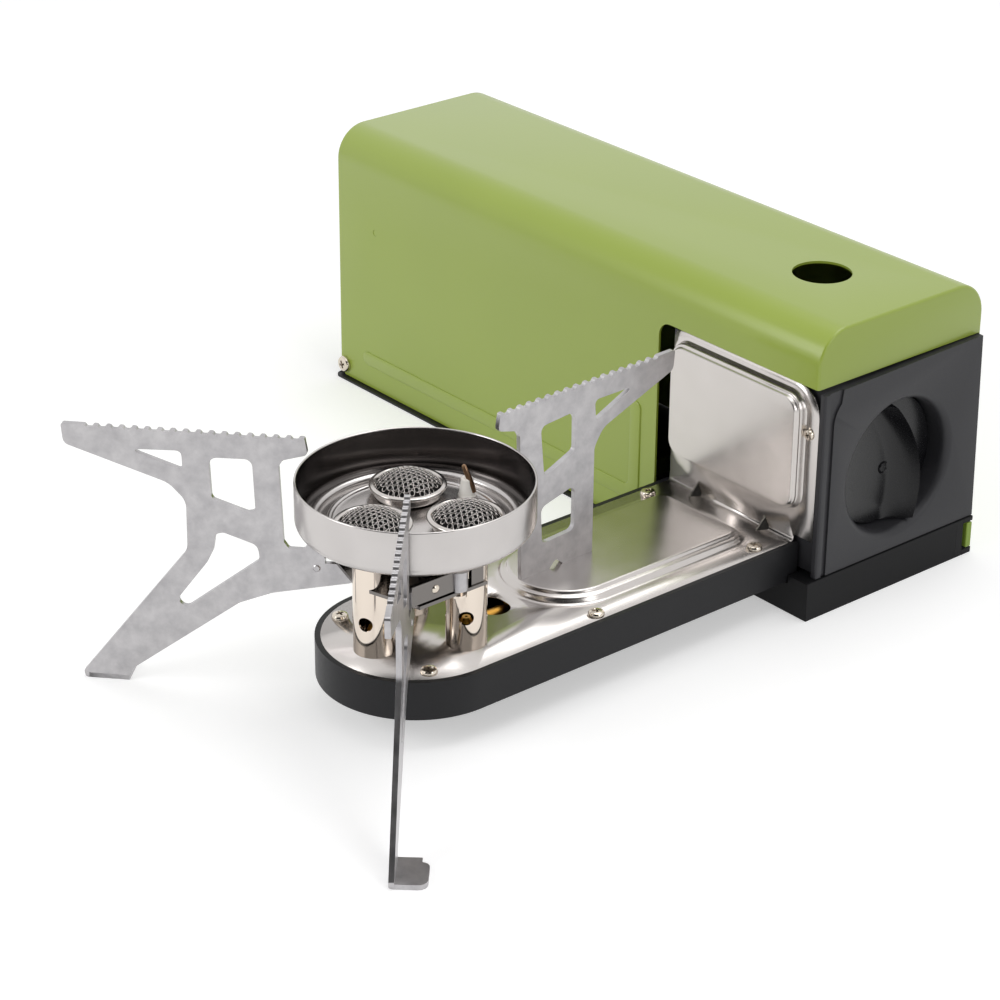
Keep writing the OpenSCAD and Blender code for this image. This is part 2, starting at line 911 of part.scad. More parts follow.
// Mixing tube with its air holes, at a given angle about the burner
module mixing_tube(angle, turn) {
    color("#d9dadb")
        at_burner()
            rotate(angle)
                translate([tube_pitch, 0, 0])
                    difference() {
                        translate([0, 0, plate_z])
                            cylinder(r = tube_r, h = tube_top - plate_z);
                        translate([0, 0, plate_z - eps])
                            cylinder(r = tube_r - tube_t, h = tube_top - plate_z + 2 * eps);
                        for (q = [0, 90])
                            translate([0, 0, air_z])
                                rotate([0, 90, turn + q])
                                    cylinder(r = air_r, h = 3 * tube_r, center = true);
                    }
}

// Brass jets, one in the foot of each mixing tube
module gas_jets() {
    color("#c99a3c")
        at_burner()
            for (a = tube_angles)
                rotate(a)
                    translate([tube_pitch, 0, 0])
                        difference() {
                            union() {
                                translate([0, 0, plate_z - plate_t])
                                    cylinder(r = 2.9, h = jet_z - plate_z);
                                translate([0, 0, jet_z - plate_t - eps])
                                    cylinder(r1 = 2.9, r2 = 1.4, h = 3);
                            }
                            translate([0, 0, plate_z - 1])
                                cylinder(r = 0.5, h = 14);
                        }
}

// Plan of the triangular bracket, a round corner at each tube
module bracket_plan(corner) {
    points = [for (a = tube_angles, d = [-60, 60])
        tube_pitch * [cos(a), sin(a)] + 0.97 * corner * [cos(a + d), sin(a + d)]];
    polygon(points);
    for (a = tube_angles)
        rotate(a)
            translate([tube_pitch, 0])
                circle(corner);
}

// Lower plate of the bracket, with a corner in front of each side hinge
module lower_plan() {
    side = hinge_x + 1.4;
    polygon([[-side, 10.5], [side, 10.5], [side, -17.2], [3, -23.3], [-3, -23.3],
        [-side, -17.2]]);
}

// Bracket under the bowl: two plates that hold the hinge pins, webs and side flanges
module burner_bracket() {
    color("#b4b6b9")
        at_burner()
            difference() {
                union() {
                    translate([0, 0, bracket_z])
                        linear_extrude(bracket_t)
                            lower_plan();
                    translate([0, 0, link_z1 + gap])
                        linear_extrude(bracket_t)
                            union() {
                                bracket_plan(tube_r + 1.6);
                                for (s = [-1, 1])
                                    translate([s * hinge_x, -0.3])
                                        circle(knuckle_r + 1.2);
                            }
                    for (s = [-1, 1])
                        translate([s * (hinge_x + 0.3) - bracket_t / 2, 4.5, bracket_z])
                            cube([bracket_t, 5, bowl_floor - bracket_z]);
                    translate([-5, 6, bracket_z])
                        cube([10, bracket_t, bowl_floor - bracket_z]);
                    translate([-15, -11, bracket_z])
                        cube([30, bracket_t, link_z1 + gap + eps - bracket_z]);
                }
                for (a = tube_angles)
                    rotate(a)
                        translate([tube_pitch, 0, bracket_z - 1])
                            cylinder(r = tube_r, h = bowl_floor - bracket_z + 2);
                for (s = [-1, 1])
                    hinge_axis(s)
                        translate([0, 0, -2])
                            cylinder(r = pin_r, h = 16);
            }
}

// Wind bowl: drawn sheet with a round foot and three tube holes
module wind_bowl() {
    color("#cfd0d1")
        at_burner()
            difference() {
                rotate_extrude()
                    bowl_profile(bowl_r, bowl_floor, bowl_foot);
                translate([0, 0, bowl_t])
                    rotate_extrude()
                        bowl_profile(bowl_r - bowl_t, bowl_floor, bowl_foot - bowl_t);
                for (a = tube_angles)
                    rotate(a)
                        translate([tube_pitch, 0, bowl_floor - 1])
                            cylinder(r = tube_r, h = 4);
                translate([spark_pin.x, spark_pin.y, bowl_floor - 1])
                    cylinder(r = 2, h = 4);
            }
}

// Half section of the bowl as a filled shape
module bowl_profile(r, z0, foot) {
    translate([0, z0])
        square([r - foot, bowl_z - z0]);
    translate([0, z0 + foot])
        square([r, bowl_z - z0 - foot]);
    translate([r - foot, z0 + foot])
        intersection() {
            circle(foot);
            translate([0, -foot])
                square([foot, foot]);
        }
}

// Pressed liner in the bowl, with a round outer bead
module bowl_liner() {
    bead = 2.2;
    ring = bowl_r - bowl_foot - gap;
    color("#c3c4c6")
        at_burner()
            difference() {
                union() {
                    translate([0, 0, bowl_floor + bowl_t])
                        cylinder(r = ring, h = 1);
                    translate([0, 0, bowl_floor + bowl_t])
                        rotate_extrude()
                            translate([ring - 3.2, 0])
                                difference() {
                                    circle(bead);
                                    translate([-5, -10])
                                        square([10, 10]);
                                }
                }
                for (a = tube_angles)
                    rotate(a)
                        translate([tube_pitch, 0, bowl_floor])
                            cylinder(r = tube_r, h = 6);
                translate([spark_pin.x, spark_pin.y, bowl_floor])
                    cylinder(r = 2.9, h = 6);
            }
}

// Burner head: cup, flange and perforated dome
module burner_head(angle) {
    cup_r = head_r - 1.7;
    dome_r = head_r - 1.5;
    ball = (dome_r * dome_r + dome_h * dome_h) / (2 * dome_h);
    cup_z = bowl_floor + bowl_t + 1.2;
    color("#b9bbbd")
        at_burner()
            rotate(angle)
                translate([tube_pitch, 0, 0])
                    difference() {
                        union() {
                            translate([0, 0, cup_z])
                                cylinder(r = cup_r, h = head_z - cup_z);
                            translate([0, 0, head_z - eps])
                                cylinder(r = head_r, h = 1);
                            intersection() {
                                translate([0, 0, head_z + 1 + dome_h - ball])
                                    sphere(r = ball);
                                translate([0, 0, head_z + 0.5])
                                    cylinder(r = dome_r, h = 6);
                            }
                        }
                        // mixing tube seat and gas space
                        translate([0, 0, cup_z - 1])
                            cylinder(r = tube_r, h = tube_top - cup_z + 1);
                        translate([0, 0, cup_z + 1])
                            cylinder(r = cup_r - 0.8, h = head_z - cup_z - 0.6);
                        intersection() {
                            translate([0, 0, head_z + 0.4 + dome_h - ball])
                                sphere(r = ball);
                            translate([0, 0, head_z - 1])
                                cylinder(r = dome_r - 1, h = 6);
                        }
                        // dome holes in rings
                        for (k = [1 : dome_rings], i = [0 : 6 * k - 1])
                            rotate(360 * (i + k / 2) / (6 * k))
                                translate([k * 2.25, 0, head_z])
                                    cylinder(r = 0.62, h = 6, $fn = 16);
                        translate([0, 0, head_z])
                            cylinder(r = 0.62, h = 6, $fn = 16);
                    }
}

// Ceramic sleeve of the spark pin
module igniter_insulator() {
    color("#f3efe6")
        at_burner()
            translate([spark_pin.x, spark_pin.y, bowl_floor - 3])
                union() {
                    cylinder(r = 1.9, h = 5);
                    translate([0, 0, 3 + bowl_t])
                        cylinder(r1 = 2.8, r2 = 2.1, h = 7.5);
                }
}

// Bent spark pin
module igniter_pin() {
    pin_z = bowl_floor + bowl_t + 7.5;
    color("#a8713a")
        at_burner()
            translate([spark_pin.x, spark_pin.y, pin_z])
                union() {
                    cylinder(r = 0.7, h = 3.5);
                    translate([0, 0, 3.5])
                        sphere(r = 0.7);
                    translate([0, 0, 3.5])
                        rotate([0, 100, -45])
                            cylinder(r = 0.7, h = 7);
                }
}

// Places a shape on the leaning hinge axis of one side support
module hinge_axis(side) {
    lean_az = side > 0 ? -66 : 246;
    translate([side * hinge_x, 0, bracket_z])
        rotate([0, 0, lean_az])
            rotate([0, pin_lean, 0])
                rotate([0, 0, -lean_az])
                    children();
}

// Hinge pins of the side supports, riveted over below and above the bracket
module hinge_pins() {
    head_h = 1;
    head_gap = 0.12;
    top = link_z1 + gap + bracket_t - bracket_z + head_gap;
    color("silver")
        at_burner()
            for (s = [-1, 1])
                hinge_axis(s)
                    union() {
                        translate([0, 0, -head_gap - head_h])
                            cylinder(r = pin_r, h = top + head_gap + 2 * head_h);
                        translate([0, 0, -head_gap - head_h])
                            cylinder(r = pin_r + 1.1, h = head_h);
                        translate([0, 0, top])
                            cylinder(r = pin_r + 1.1, h = head_h);
                    }
}

// Side outline shared by the two folding supports, reach against height
module side_outline() {
    hook_z = bracket_z - gap;
    polygon([[leg_reach, leg_z], [36, leg_z], [35, 88.5], [43.3, 86.1], [44.7, 83.8],
        [43.7, 56.6], [42.1, 54.2], [37, 54.2], [34, link_z1], [link_s, link_z1],
        [link_s, hook_z], [hook_s, hook_z], [hook_s, 43.1], [47.9, 37.3], [59.2, 32.7],
        [96.6, 4.7], [98.5, 0], [113.2, 0], [113.7, 2.5], [76.1, 51.2], [75.9, 69.2],
        [81.5, 75.3], [leg_reach - 0.6, 87.3]]);
}

// Windows of the folding supports
module side_windows() {
    round_window()
        polygon([[94.6, 86.7], [76.8, 87.2], [76.6, 80.4]]);
    round_window()
        polygon([[67.8, 85.4], [53.5, 85.7], [52.8, 67.1], [55.4, 66.5], [67.3, 70.6]]);
    round_window()
        polygon([[66.4, 57.8], [63.7, 58.4], [52.5, 54.5], [51.8, 49.3], [77, 29.7],
            [80.8, 31.7], [69.5, 47.2], [67.3, 51.8]]);
}

// Rounds the corners of a window
module round_window() {
    offset(r = window_r, $fn = 24)
        offset(delta = -window_r)
            children();
}

// Row of notches that leaves teeth along the top edge
module tooth_row() {
    for (i = [0 : teeth - 1])
        translate([36 + (i + 0.5) * tooth_pitch, leg_z])
            polygon([[-0.32 * tooth_pitch, 1], [-0.22 * tooth_pitch, -tooth_h],
                [0.22 * tooth_pitch, -tooth_h], [0.32 * tooth_pitch, 1]]);
}

// Extrudes a shape drawn as reach and height into an upright plate
module upright() {
    rotate([90, 0, 0])
        translate([0, 0, -leg_t / 2])
            linear_extrude(leg_t)
                children();
}

// Folding support on the right; the left one is its mirror image
module side_support() {
    turn = -leg_angle;
    hinge_s = hinge_x * cos(turn);
    hinge_n = -hinge_x * sin(turn);
    link_len = norm([link_s - hinge_s, hinge_n]);
    difference() {
        union() {
            rotate(turn)
                union() {
                    upright()
                        difference() {
                            side_outline();
                            side_windows();
                            tooth_row();
                        }
                    translate([98, 0, 0])
                        foot_tab();
                }
            translate([hinge_x - leg_t / 2, -link_len - leg_t / 2, link_z0])
                cube([leg_t, link_len - 1, link_z1 - link_z0]);
            hinge_axis(1)
                translate([0, 0, link_z0 - bracket_z])
                    cylinder(r = knuckle_r, h = link_z1 - link_z0);
        }
        hinge_axis(1)
            cylinder(r = pin_r + fit, h = 2 * (link_z1 - bracket_z));
    }
}

// Foot pad bent sideways from the lower edge
module foot_tab() {
    linear_extrude(leg_t)
        union() {
            square([15.2, 8.5]);
            translate([2.5, 0])
                square([10.2, 11]);
            for (x = [2.5, 12.7])
                translate([x, 8.5])
                    circle(2.5);
        }
}

module pot_support_right() {
    color("#b9bbbe")
        at_burner()
            side_support();
}

module pot_support_left() {
    color("#b9bbbe")
        at_burner()
            mirror([1, 0, 0])
                side_support();
}

// Fixed support that stands on the arm pad
module pot_support_rear() {
    foot_z = plate_z + arm_pad;
    color("#b9bbbe")
        at_burner()
            rotate(92)
                upright()
                    difference() {
                        polygon([[leg_reach, leg_z], [36, leg_z], [35, 88.5], [43.3, 86.1],
                            [44.7, 83.8], [45.5, 56], [46, foot_z], [59, foot_z], [62, foot_z + 3],
                            [65, foot_z], [79, foot_z], [79, 69.2], [83, 75.3],
                            [leg_reach - 0.6, 87.3]]);
                        round_window()
                            polygon([[78.8, 86.8], [97.1, 86.6], [79.5, 79]]);
                        round_window()
                            polygon([[54, 84.3], [68, 85.3], [69.8, 83], [69.9, 70.9],
                                [56.7, 65.4]]);
                        round_window()
                            polygon([[54.6, 54], [68.6, 57.4], [70.3, 55.4], [70.2, 40.9],
                                [55.3, 40.2]]);
                        tooth_row();
                    }
}

module mixing_tube_front() {
    mixing_tube(tube_angles[0], 28);
}

module mixing_tube_right() {
    mixing_tube(tube_angles[1], -70);
}

module mixing_tube_left() {
    mixing_tube(tube_angles[2], 28);
}

module burner_head_front() {
    burner_head(tube_angles[0]);
}

module burner_head_right() {
    burner_head(tube_angles[1]);
}

module burner_head_left() {
    burner_head(tube_angles[2]);
}

base_plate();
base_block();
cartridge_saddles();
lid_pivot_screws();
release_tab();
lid_shell();
swing_spindle();
turret_housing();
valve_body();
cartridge_socket();
piezo_igniter();
control_knob();
valve_stem();
arm_plate();
arm_tray();
plate_screws();
shield_screw();
gas_pipe();
gas_manifold();
mixing_tube_front();
mixing_tube_right();
mixing_tube_left();
gas_jets();
burner_bracket();
wind_bowl();
bowl_liner();
burner_head_front();
burner_head_right();
burner_head_left();
igniter_insulator();
igniter_pin();
hinge_pins();
pot_support_rear();
pot_support_left();
pot_support_right();
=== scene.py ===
"""Looks of a folding gas stove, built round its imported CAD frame."""
import math

import bmesh
import bpy
from mathutils import Matrix, Vector


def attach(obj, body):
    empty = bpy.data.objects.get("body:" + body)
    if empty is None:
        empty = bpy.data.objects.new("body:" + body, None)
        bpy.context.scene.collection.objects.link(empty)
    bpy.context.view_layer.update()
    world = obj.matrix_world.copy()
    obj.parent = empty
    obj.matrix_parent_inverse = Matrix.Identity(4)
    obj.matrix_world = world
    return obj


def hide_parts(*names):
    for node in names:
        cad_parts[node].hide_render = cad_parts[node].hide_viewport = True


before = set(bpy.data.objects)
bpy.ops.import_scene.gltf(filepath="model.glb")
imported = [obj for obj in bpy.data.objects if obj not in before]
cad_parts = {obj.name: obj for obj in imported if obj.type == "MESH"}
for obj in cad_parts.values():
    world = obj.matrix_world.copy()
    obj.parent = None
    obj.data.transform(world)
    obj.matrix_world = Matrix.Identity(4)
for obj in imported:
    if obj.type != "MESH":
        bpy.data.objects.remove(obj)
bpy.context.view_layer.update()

MM = 0.001
UP = Vector((0, 0, 1))

# Places in the part frame, in millimetres
CASE_FAR = -135.75
CASE_NEAR = 134.25
CASE_HALF = 41.0
LID_LOW = 1.3
LID_TOP = 107.5
PIVOT_X = -132.35
PIVOT_Z = 6.2
PANEL_X = 136.55
KNOB_SEAT_X = 125.05
KNOB_Z = 47.0
SWING_X = 93.25
BURNER_Y = -183.0
PLATE_Z = 25.85
FOLD_Y = -39.6
TUBE_CIRCLE = 17.6
TUBE_ANGLES = {"front": -90, "right": 30, "left": 150}
TUBE_HOLE = 7.0
SPARK_SPOT = (-3, 24)
BOWL_R = 39.4
BOWL_RIM = 82.5
BOWL_FLOOR = 66.1
HEAD_Z = 71.3
DOME_R = 11.0
DOME_RISE = 4.8
AT_SWING = Matrix.Translation((SWING_X, 0, 0))
AT_BURNER = Matrix.Translation((SWING_X, BURNER_Y, 0))


# Materials

def linear(hex_colour):
    """An sRGB hex colour as the linear RGBA that a socket takes."""
    parts = [int(hex_colour[i:i + 2], 16) / 255 for i in (1, 3, 5)]
    return [c / 12.92 if c <= 0.04045 else ((c + 0.055) / 1.055) ** 2.4 for c in parts] + [1.0]


def add(tree, kind, values=(), links=(), **settings):
    """Adds one node, with its settings, its socket values and what its sockets are linked to."""
    made = tree.nodes.new(kind)
    for key, value in settings.items():
        setattr(made, key, value)
    for socket, value in dict(values).items():
        made.inputs[socket].default_value = value
    for socket, source in dict(links).items():
        tree.links.new(source, made.inputs[socket])
    return made


def surface(name, colour, rough, metal=0.0, **sockets):
    """A new material with its tree, its shader and the Object coordinates that its patterns read."""
    made = bpy.data.materials.new(name)
    made.use_nodes = True
    tree = made.node_tree
    shader = tree.nodes["Principled BSDF"]
    shader.inputs["Base Color"].default_value = linear(colour)
    shader.inputs["Roughness"].default_value = rough
    shader.inputs["Metallic"].default_value = metal
    for socket, value in sockets.items():
        shader.inputs[socket.replace("_", " ")].default_value = value
    place = add(tree, "ShaderNodeTexCoord").outputs["Object"]
    return made, tree, shader, place


def per_metre(size_mm):
    """Noise scale that gives features of about this size."""
    return 1000.0 / size_mm


def tint(tree, shader, factor, low, high):
    """Lets the colour drift between two shades by a factor."""
    mix = add(tree, "ShaderNodeMix", {"A": linear(low), "B": linear(high)}, {"Factor": factor},
              data_type="RGBA")
    tree.links.new(mix.outputs["Result"], shader.inputs["Base Color"])


def vary_gloss(tree, shader, factor, low, high):
    """Lets the roughness drift between two values by a factor."""
    spread = add(tree, "ShaderNodeMapRange", {"To Min": low, "To Max": high}, {"Value": factor})
    tree.links.new(spread.outputs["Result"], shader.inputs["Roughness"])


def relief(tree, shader, height, depth_mm):
    """Raises the surface by a height pattern of a given depth."""
    bump = add(tree, "ShaderNodeBump", {"Strength": 1.0, "Distance": depth_mm * MM}, {"Height": height})
    tree.links.new(bump.outputs["Normal"], shader.inputs["Normal"])


def powder_coat():
    """Baked powder coat on sheet steel: satin, with a faint orange peel of about 1.5 mm."""
    made, tree, shader, place = surface("green_powder_coat", "#94a73a", 0.34, Coat_Weight=0.5,
                                        Coat_Roughness=0.22)
    peel = add(tree, "ShaderNodeTexNoise", {"Scale": per_metre(1.6), "Detail": 2.0}, {"Vector": place})
    cloud = add(tree, "ShaderNodeTexNoise", {"Scale": per_metre(60), "Detail": 1.0}, {"Vector": place})
    tint(tree, shader, cloud.outputs["Fac"], "#91a438", "#99ac3f")
    vary_gloss(tree, shader, cloud.outputs["Fac"], 0.32, 0.39)
    relief(tree, shader, peel.outputs["Fac"], 0.012)
    return made


def green_moulding():
    """Coloured ABS of the release tab: the lid's green, a little duller, with fine moulded grain."""
    made, tree, shader, place = surface("green_abs", "#86a03a", 0.45)
    grain = add(tree, "ShaderNodeTexNoise", {"Scale": per_metre(0.5), "Detail": 2.0}, {"Vector": place})
    relief(tree, shader, grain.outputs["Fac"], 0.012)
    vary_gloss(tree, shader, grain.outputs["Fac"], 0.42, 0.52)
    return made


def moulded_plastic(name, colour, pale, rough, grain_mm, depth_mm, gloss=0.3):
    """Filled nylon moulded in a spark-eroded tool: a dark even skin with fine matt grain."""
    made, tree, shader, place = surface(name, colour, rough, Specular_IOR_Level=gloss)
    grain = add(tree, "ShaderNodeTexNoise", {"Scale": per_metre(grain_mm), "Detail": 3.0}, {"Vector": place})
    cloud = add(tree, "ShaderNodeTexNoise", {"Scale": per_metre(35), "Detail": 2.0}, {"Vector": place})
    tint(tree, shader, cloud.outputs["Fac"], colour, pale)
    vary_gloss(tree, shader, grain.outputs["Fac"], rough - 0.05, rough + 0.08)
    relief(tree, shader, grain.outputs["Fac"], depth_mm)
    return made


def bright_sheet():
    """Bright-annealed stainless sheet: soft mirror images under a fine even haze."""
    made, tree, shader, place = surface("bright_annealed_steel", "#c9c4c0", 0.24, 1.0)
    haze = add(tree, "ShaderNodeTexNoise", {"Scale": per_metre(11), "Detail": 4.0}, {"Vector": place})
    fine = add(tree, "ShaderNodeTexNoise", {"Scale": per_metre(0.8), "Detail": 2.0}, {"Vector": place})
    tint(tree, shader, haze.outputs["Fac"], "#c4bfbb", "#d0cbc8")
    vary_gloss(tree, shader, haze.outputs["Fac"], 0.20, 0.29)
    relief(tree, shader, fine.outputs["Fac"], 0.002)
    return made


def rolled_sheet():
    """Cold-rolled stainless of the pot supports: dull grey with cloudy marks from tumbling."""
    made, tree, shader, place = surface("tumbled_stainless", "#a8a8aa", 0.34, 1.0)
    cloud = add(tree, "ShaderNodeTexNoise", {"Scale": per_metre(6), "Detail": 6.0, "Roughness": 0.62},
                {"Vector": place})
    patch = add(tree, "ShaderNodeValToRGB", {}, {"Fac": cloud.outputs["Fac"]})
    patch.color_ramp.elements[0].position = 0.30
    patch.color_ramp.elements[1].position = 0.70
    speck = add(tree, "ShaderNodeTexNoise", {"Scale": per_metre(0.7), "Detail": 3.0}, {"Vector": place})
    tint(tree, shader, patch.outputs["Color"], "#a8a6a8", "#c2c0c1")
    vary_gloss(tree, shader, cloud.outputs["Fac"], 0.27, 0.38)
    relief(tree, shader, speck.outputs["Fac"], 0.010)
    return made


def spun_steel(name, low, high, rough):
    """Spun stainless of the bowl: satin, with fine lines left by the tool round its axis."""
    made, tree, shader, place = surface(name, low, rough, 1.0)
    level = add(tree, "ShaderNodeMapping", {"Scale": (4.0, 4.0, per_metre(0.45))}, {"Vector": place})
    lines = add(tree, "ShaderNodeTexNoise", {"Scale": 1.0, "Detail": 3.0},
                {"Vector": level.outputs["Vector"]})
    haze = add(tree, "ShaderNodeTexNoise", {"Scale": per_metre(14), "Detail": 3.0}, {"Vector": place})
    tint(tree, shader, haze.outputs["Fac"], low, high)
    vary_gloss(tree, shader, haze.outputs["Fac"], rough - 0.04, rough + 0.06)
    relief(tree, shader, lines.outputs["Fac"], 0.006)
    return made


def plated(name, colour, rough, fleck_mm=6.0):
    """Plated or bright-drawn metal: a mirror with slight unevenness."""
    made, tree, shader, place = surface(name, colour, rough, 1.0)
    haze = add(tree, "ShaderNodeTexNoise", {"Scale": per_metre(fleck_mm), "Detail": 3.0}, {"Vector": place})
    vary_gloss(tree, shader, haze.outputs["Fac"], rough * 0.7, rough * 1.4)
    return made


def plain_metal(name, colour, rough, grain_mm):
    """Cast or turned metal inside the case: dull, with grain of a given size."""
    made, tree, shader, place = surface(name, colour, rough, 1.0)
    grain = add(tree, "ShaderNodeTexNoise", {"Scale": per_metre(grain_mm), "Detail": 4.0}, {"Vector": place})
    vary_gloss(tree, shader, grain.outputs["Fac"], rough - 0.06, rough + 0.1)
    relief(tree, shader, grain.outputs["Fac"], 0.02)
    return made


def glazed_ceramic():
    """Alumina sleeve of the spark pin: warm white with a soft glaze."""
    made, tree, shader, place = surface("alumina_ceramic", "#f8f5ee", 0.28)
    cloud = add(tree, "ShaderNodeTexNoise", {"Scale": per_metre(3), "Detail": 2.0}, {"Vector": place})
    tint(tree, shader, cloud.outputs["Fac"], "#f4f0e7", "#fcfaf5")
    return made


GREEN = powder_coat()
TAB_GREEN = green_moulding()
CHARCOAL = moulded_plastic("charcoal_nylon", "#2e2e31", "#343437", 0.44, 0.6, 0.02, 0.35)
KNOB_BLACK = moulded_plastic("black_knob_abs", "#0f0f11", "#131316", 0.24, 0.5, 0.001, 0.4)
BLOCK_BLACK = moulded_plastic("black_block_nylon", "#131314", "#171719", 0.46, 0.7, 0.015, 0.15)
TRAY_BLACK = moulded_plastic("black_satin_tray", "#1b1b1d", "#202022", 0.42, 1.1, 0.010, 0.25)
BASE_BLACK = moulded_plastic("black_stoved_steel", "#111112", "#161617", 0.40, 0.8, 0.010, 0.3)
MIRROR = bright_sheet()
SUPPORT_STEEL = rolled_sheet()
SPUN = spun_steel("spun_stainless", "#bdb9b7", "#cecac8", 0.24)
# darker copy of the spun steel for the bowl's inner wall: painted shade
SPUN_PAINTED_SHADE = spun_steel("spun_stainless_painted_shade", "#4b4746", "#5d5957", 0.20)
NICKEL = plated("nickel_on_brass", "#e2d6c9", 0.07)
SCREW_NICKEL = plated("nickel_on_steel", "#d8cec0", 0.16, 1.5)
# dark steel for the bracket and the links under the bowl: painted shade from the bowl above them
SHADED_BRACKET_STEEL = plated("bracket_steel_painted_shade", "#7b7774", 0.20, 5.0)
# darker copy of the bright sheet's steel for the fold darts: painted shade
DART_PAINTED_SHADE = plated("dart_steel_painted_shade", "#8a867f", 0.16, 1.0)
HEAD_STEEL = plated("drawn_stainless_head", "#cbc6c2", 0.17, 3.0)
BRASS = plain_metal("turned_brass", "#b88a3e", 0.30, 0.6)
ZINC = plain_metal("cast_zinc", "#a9a7a2", 0.45, 1.2)
PIN_STEEL = plain_metal("heat_tinted_pin", "#9a7c62", 0.30, 0.8)
SADDLE_STEEL = plain_metal("pressed_saddle_steel", "#8d9092", 0.38, 2.0)
CERAMIC = glazed_ceramic()
# near-black disc under each dome: painted shade seen through its holes
HOLE_SHADE_BLACK = moulded_plastic("hole_shade_black", "#0b0b0b", "#151413", 0.6, 0.4, 0.02, 0.1)
WHITE_ABS = moulded_plastic("white_spark_unit_abs", "#e6e5e0", "#eeede9", 0.42, 0.6, 0.01)


# Piece building

def settle(bm, name, body, material, stands_for=(), place=None, edge=0.0, steps=2, sheet=0.0,
           smooth=35, levels=0):
    """Turns a bmesh drawn in millimetres into a finished piece that rides on its body.

    Edge is the radius of its soft edges, sheet the wall given to an open surface, smooth the angle in
    degrees below which its faces shade as one, and levels the steps of subdivision.
    """
    if place is not None:
        bmesh.ops.transform(bm, matrix=place, verts=bm.verts)
    bmesh.ops.scale(bm, vec=(MM, MM, MM), verts=bm.verts)
    mesh = bpy.data.meshes.new(name)
    bm.to_mesh(mesh)
    bm.free()
    mesh.shade_smooth()
    mesh.set_sharp_from_angle(angle=math.radians(smooth))
    piece = bpy.data.objects.new(name, mesh)
    bpy.context.scene.collection.objects.link(piece)
    mesh.materials.clear()
    mesh.materials.append(material)
    if sheet:
        wall = piece.modifiers.new("wall", "SOLIDIFY")
        wall.thickness = sheet * MM
        wall.offset = -1
        wall.use_even_offset = True
    if levels:
        round_off = piece.modifiers.new("round_off", "SUBSURF")
        round_off.levels = levels
        round_off.render_levels = levels
    if edge:
        soft = piece.modifiers.new("soft_edge", "BEVEL")
        soft.width = edge * MM
        soft.segments = steps
        soft.limit_method = "ANGLE"
        soft.angle_limit = math.radians(40)
        soft.harden_normals = True
    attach(piece, body)
    if stands_for:
        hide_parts(*stands_for)
    return piece


def merged_copy(node):
    """A merged copy of a CAD node's mesh, in millimetres, with its flat faces joined."""
    bm = bmesh.new()
    bm.from_mesh(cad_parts[node].data)
    bmesh.ops.scale(bm, vec=(1 / MM, 1 / MM, 1 / MM), verts=bm.verts)
    bmesh.ops.remove_doubles(bm, verts=bm.verts, dist=0.002)
    bmesh.ops.dissolve_limit(bm, angle_limit=math.radians(0.5), verts=bm.verts, edges=bm.edges,
                             use_dissolve_boundaries=False, delimit={"NORMAL"})
    return bm


def dressed_node(node, body, material, edge, steps):
    """A CAD node of the right shape, shown with soft edges."""
    settle(merged_copy(node), node + "_soft", body, material, [node], edge=edge, steps=steps)


def ring(bm, corners):
    """Flat face through the corners; a corner's third number is its radius."""
    verts = [bm.verts.new((c[0], c[1], 0)) for c in corners]
    bm.faces.new(verts)
    count = len(corners)
    for i, corner in enumerate(corners):
        if len(corner) < 3:
            continue
        here = Vector(corner[:2])
        back = Vector(corners[i - 1][:2]) - here
        ahead = Vector(corners[(i + 1) % count][:2]) - here
        reach = corner[2] / math.tan(back.angle(ahead) / 2)
        reach = min(reach, back.length * 0.98, ahead.length * 0.98)
        bmesh.ops.bevel(bm, geom=[verts[i]], offset=reach, offset_type="OFFSET",
                        segments=max(4, round(corner[2] / 0.8)), profile=0.5, affect="VERTICES",
                        material=-1, clamp_overlap=False)


def blank(outline, windows=()):
    """Flat sheet with rounded corners and windows, lying on z = 0 and facing up."""
    bm = bmesh.new()
    for corners in [outline, *windows]:
        ring(bm, corners)
    bmesh.ops.delete(bm, geom=bm.faces[:], context="FACES_ONLY")
    bmesh.ops.triangle_fill(bm, edges=bm.edges[:], use_beauty=True, use_dissolve=False)
    bmesh.ops.recalc_face_normals(bm, faces=bm.faces)
    if bm.faces[:] and next(iter(bm.faces)).normal.z < 0:
        bmesh.ops.reverse_faces(bm, faces=bm.faces)
    return bm


def only_verts(geometry):
    """The vertices among what an operator returns."""
    return [item for item in geometry if isinstance(item, bmesh.types.BMVert)]


def slab(outline, thickness, merge=True):
    """Sheet of a given thickness, from z = 0 up, with its flat faces merged or left as triangles."""
    bm = blank(outline)
    raised = bmesh.ops.extrude_face_region(bm, geom=bm.faces[:])["geom"]
    bmesh.ops.translate(bm, vec=(0, 0, thickness), verts=only_verts(raised))
    bmesh.ops.recalc_face_normals(bm, faces=bm.faces)
    if merge:
        bmesh.ops.dissolve_limit(bm, angle_limit=math.radians(0.5), verts=bm.verts, edges=bm.edges,
                                 use_dissolve_boundaries=False, delimit={"NORMAL"})
    return bm


def lathe(profile, steps):
    """Solid turned round the Z axis from a closed profile of radius and height."""
    bm = bmesh.new()
    verts = [bm.verts.new((r, 0, z)) for r, z in profile]
    edges = [bm.edges.new(pair) for pair in zip(verts, verts[1:] + verts[:1])]
    bmesh.ops.spin(bm, geom=verts + edges, cent=(0, 0, 0), axis=UP, angle=math.tau, steps=steps,
                   use_merge=True, use_duplicate=False)
    bmesh.ops.remove_doubles(bm, verts=bm.verts, dist=0.0005)
    bmesh.ops.recalc_face_normals(bm, faces=bm.faces)
    return bm


def arc(centre, radius, start, end, steps=6):
    """Points of an arc in radius and height, from one angle to another in degrees."""
    return [(centre[0] + radius * math.cos(math.radians(start + (end - start) * i / steps)),
             centre[1] + radius * math.sin(math.radians(start + (end - start) * i / steps)))
            for i in range(steps + 1)]


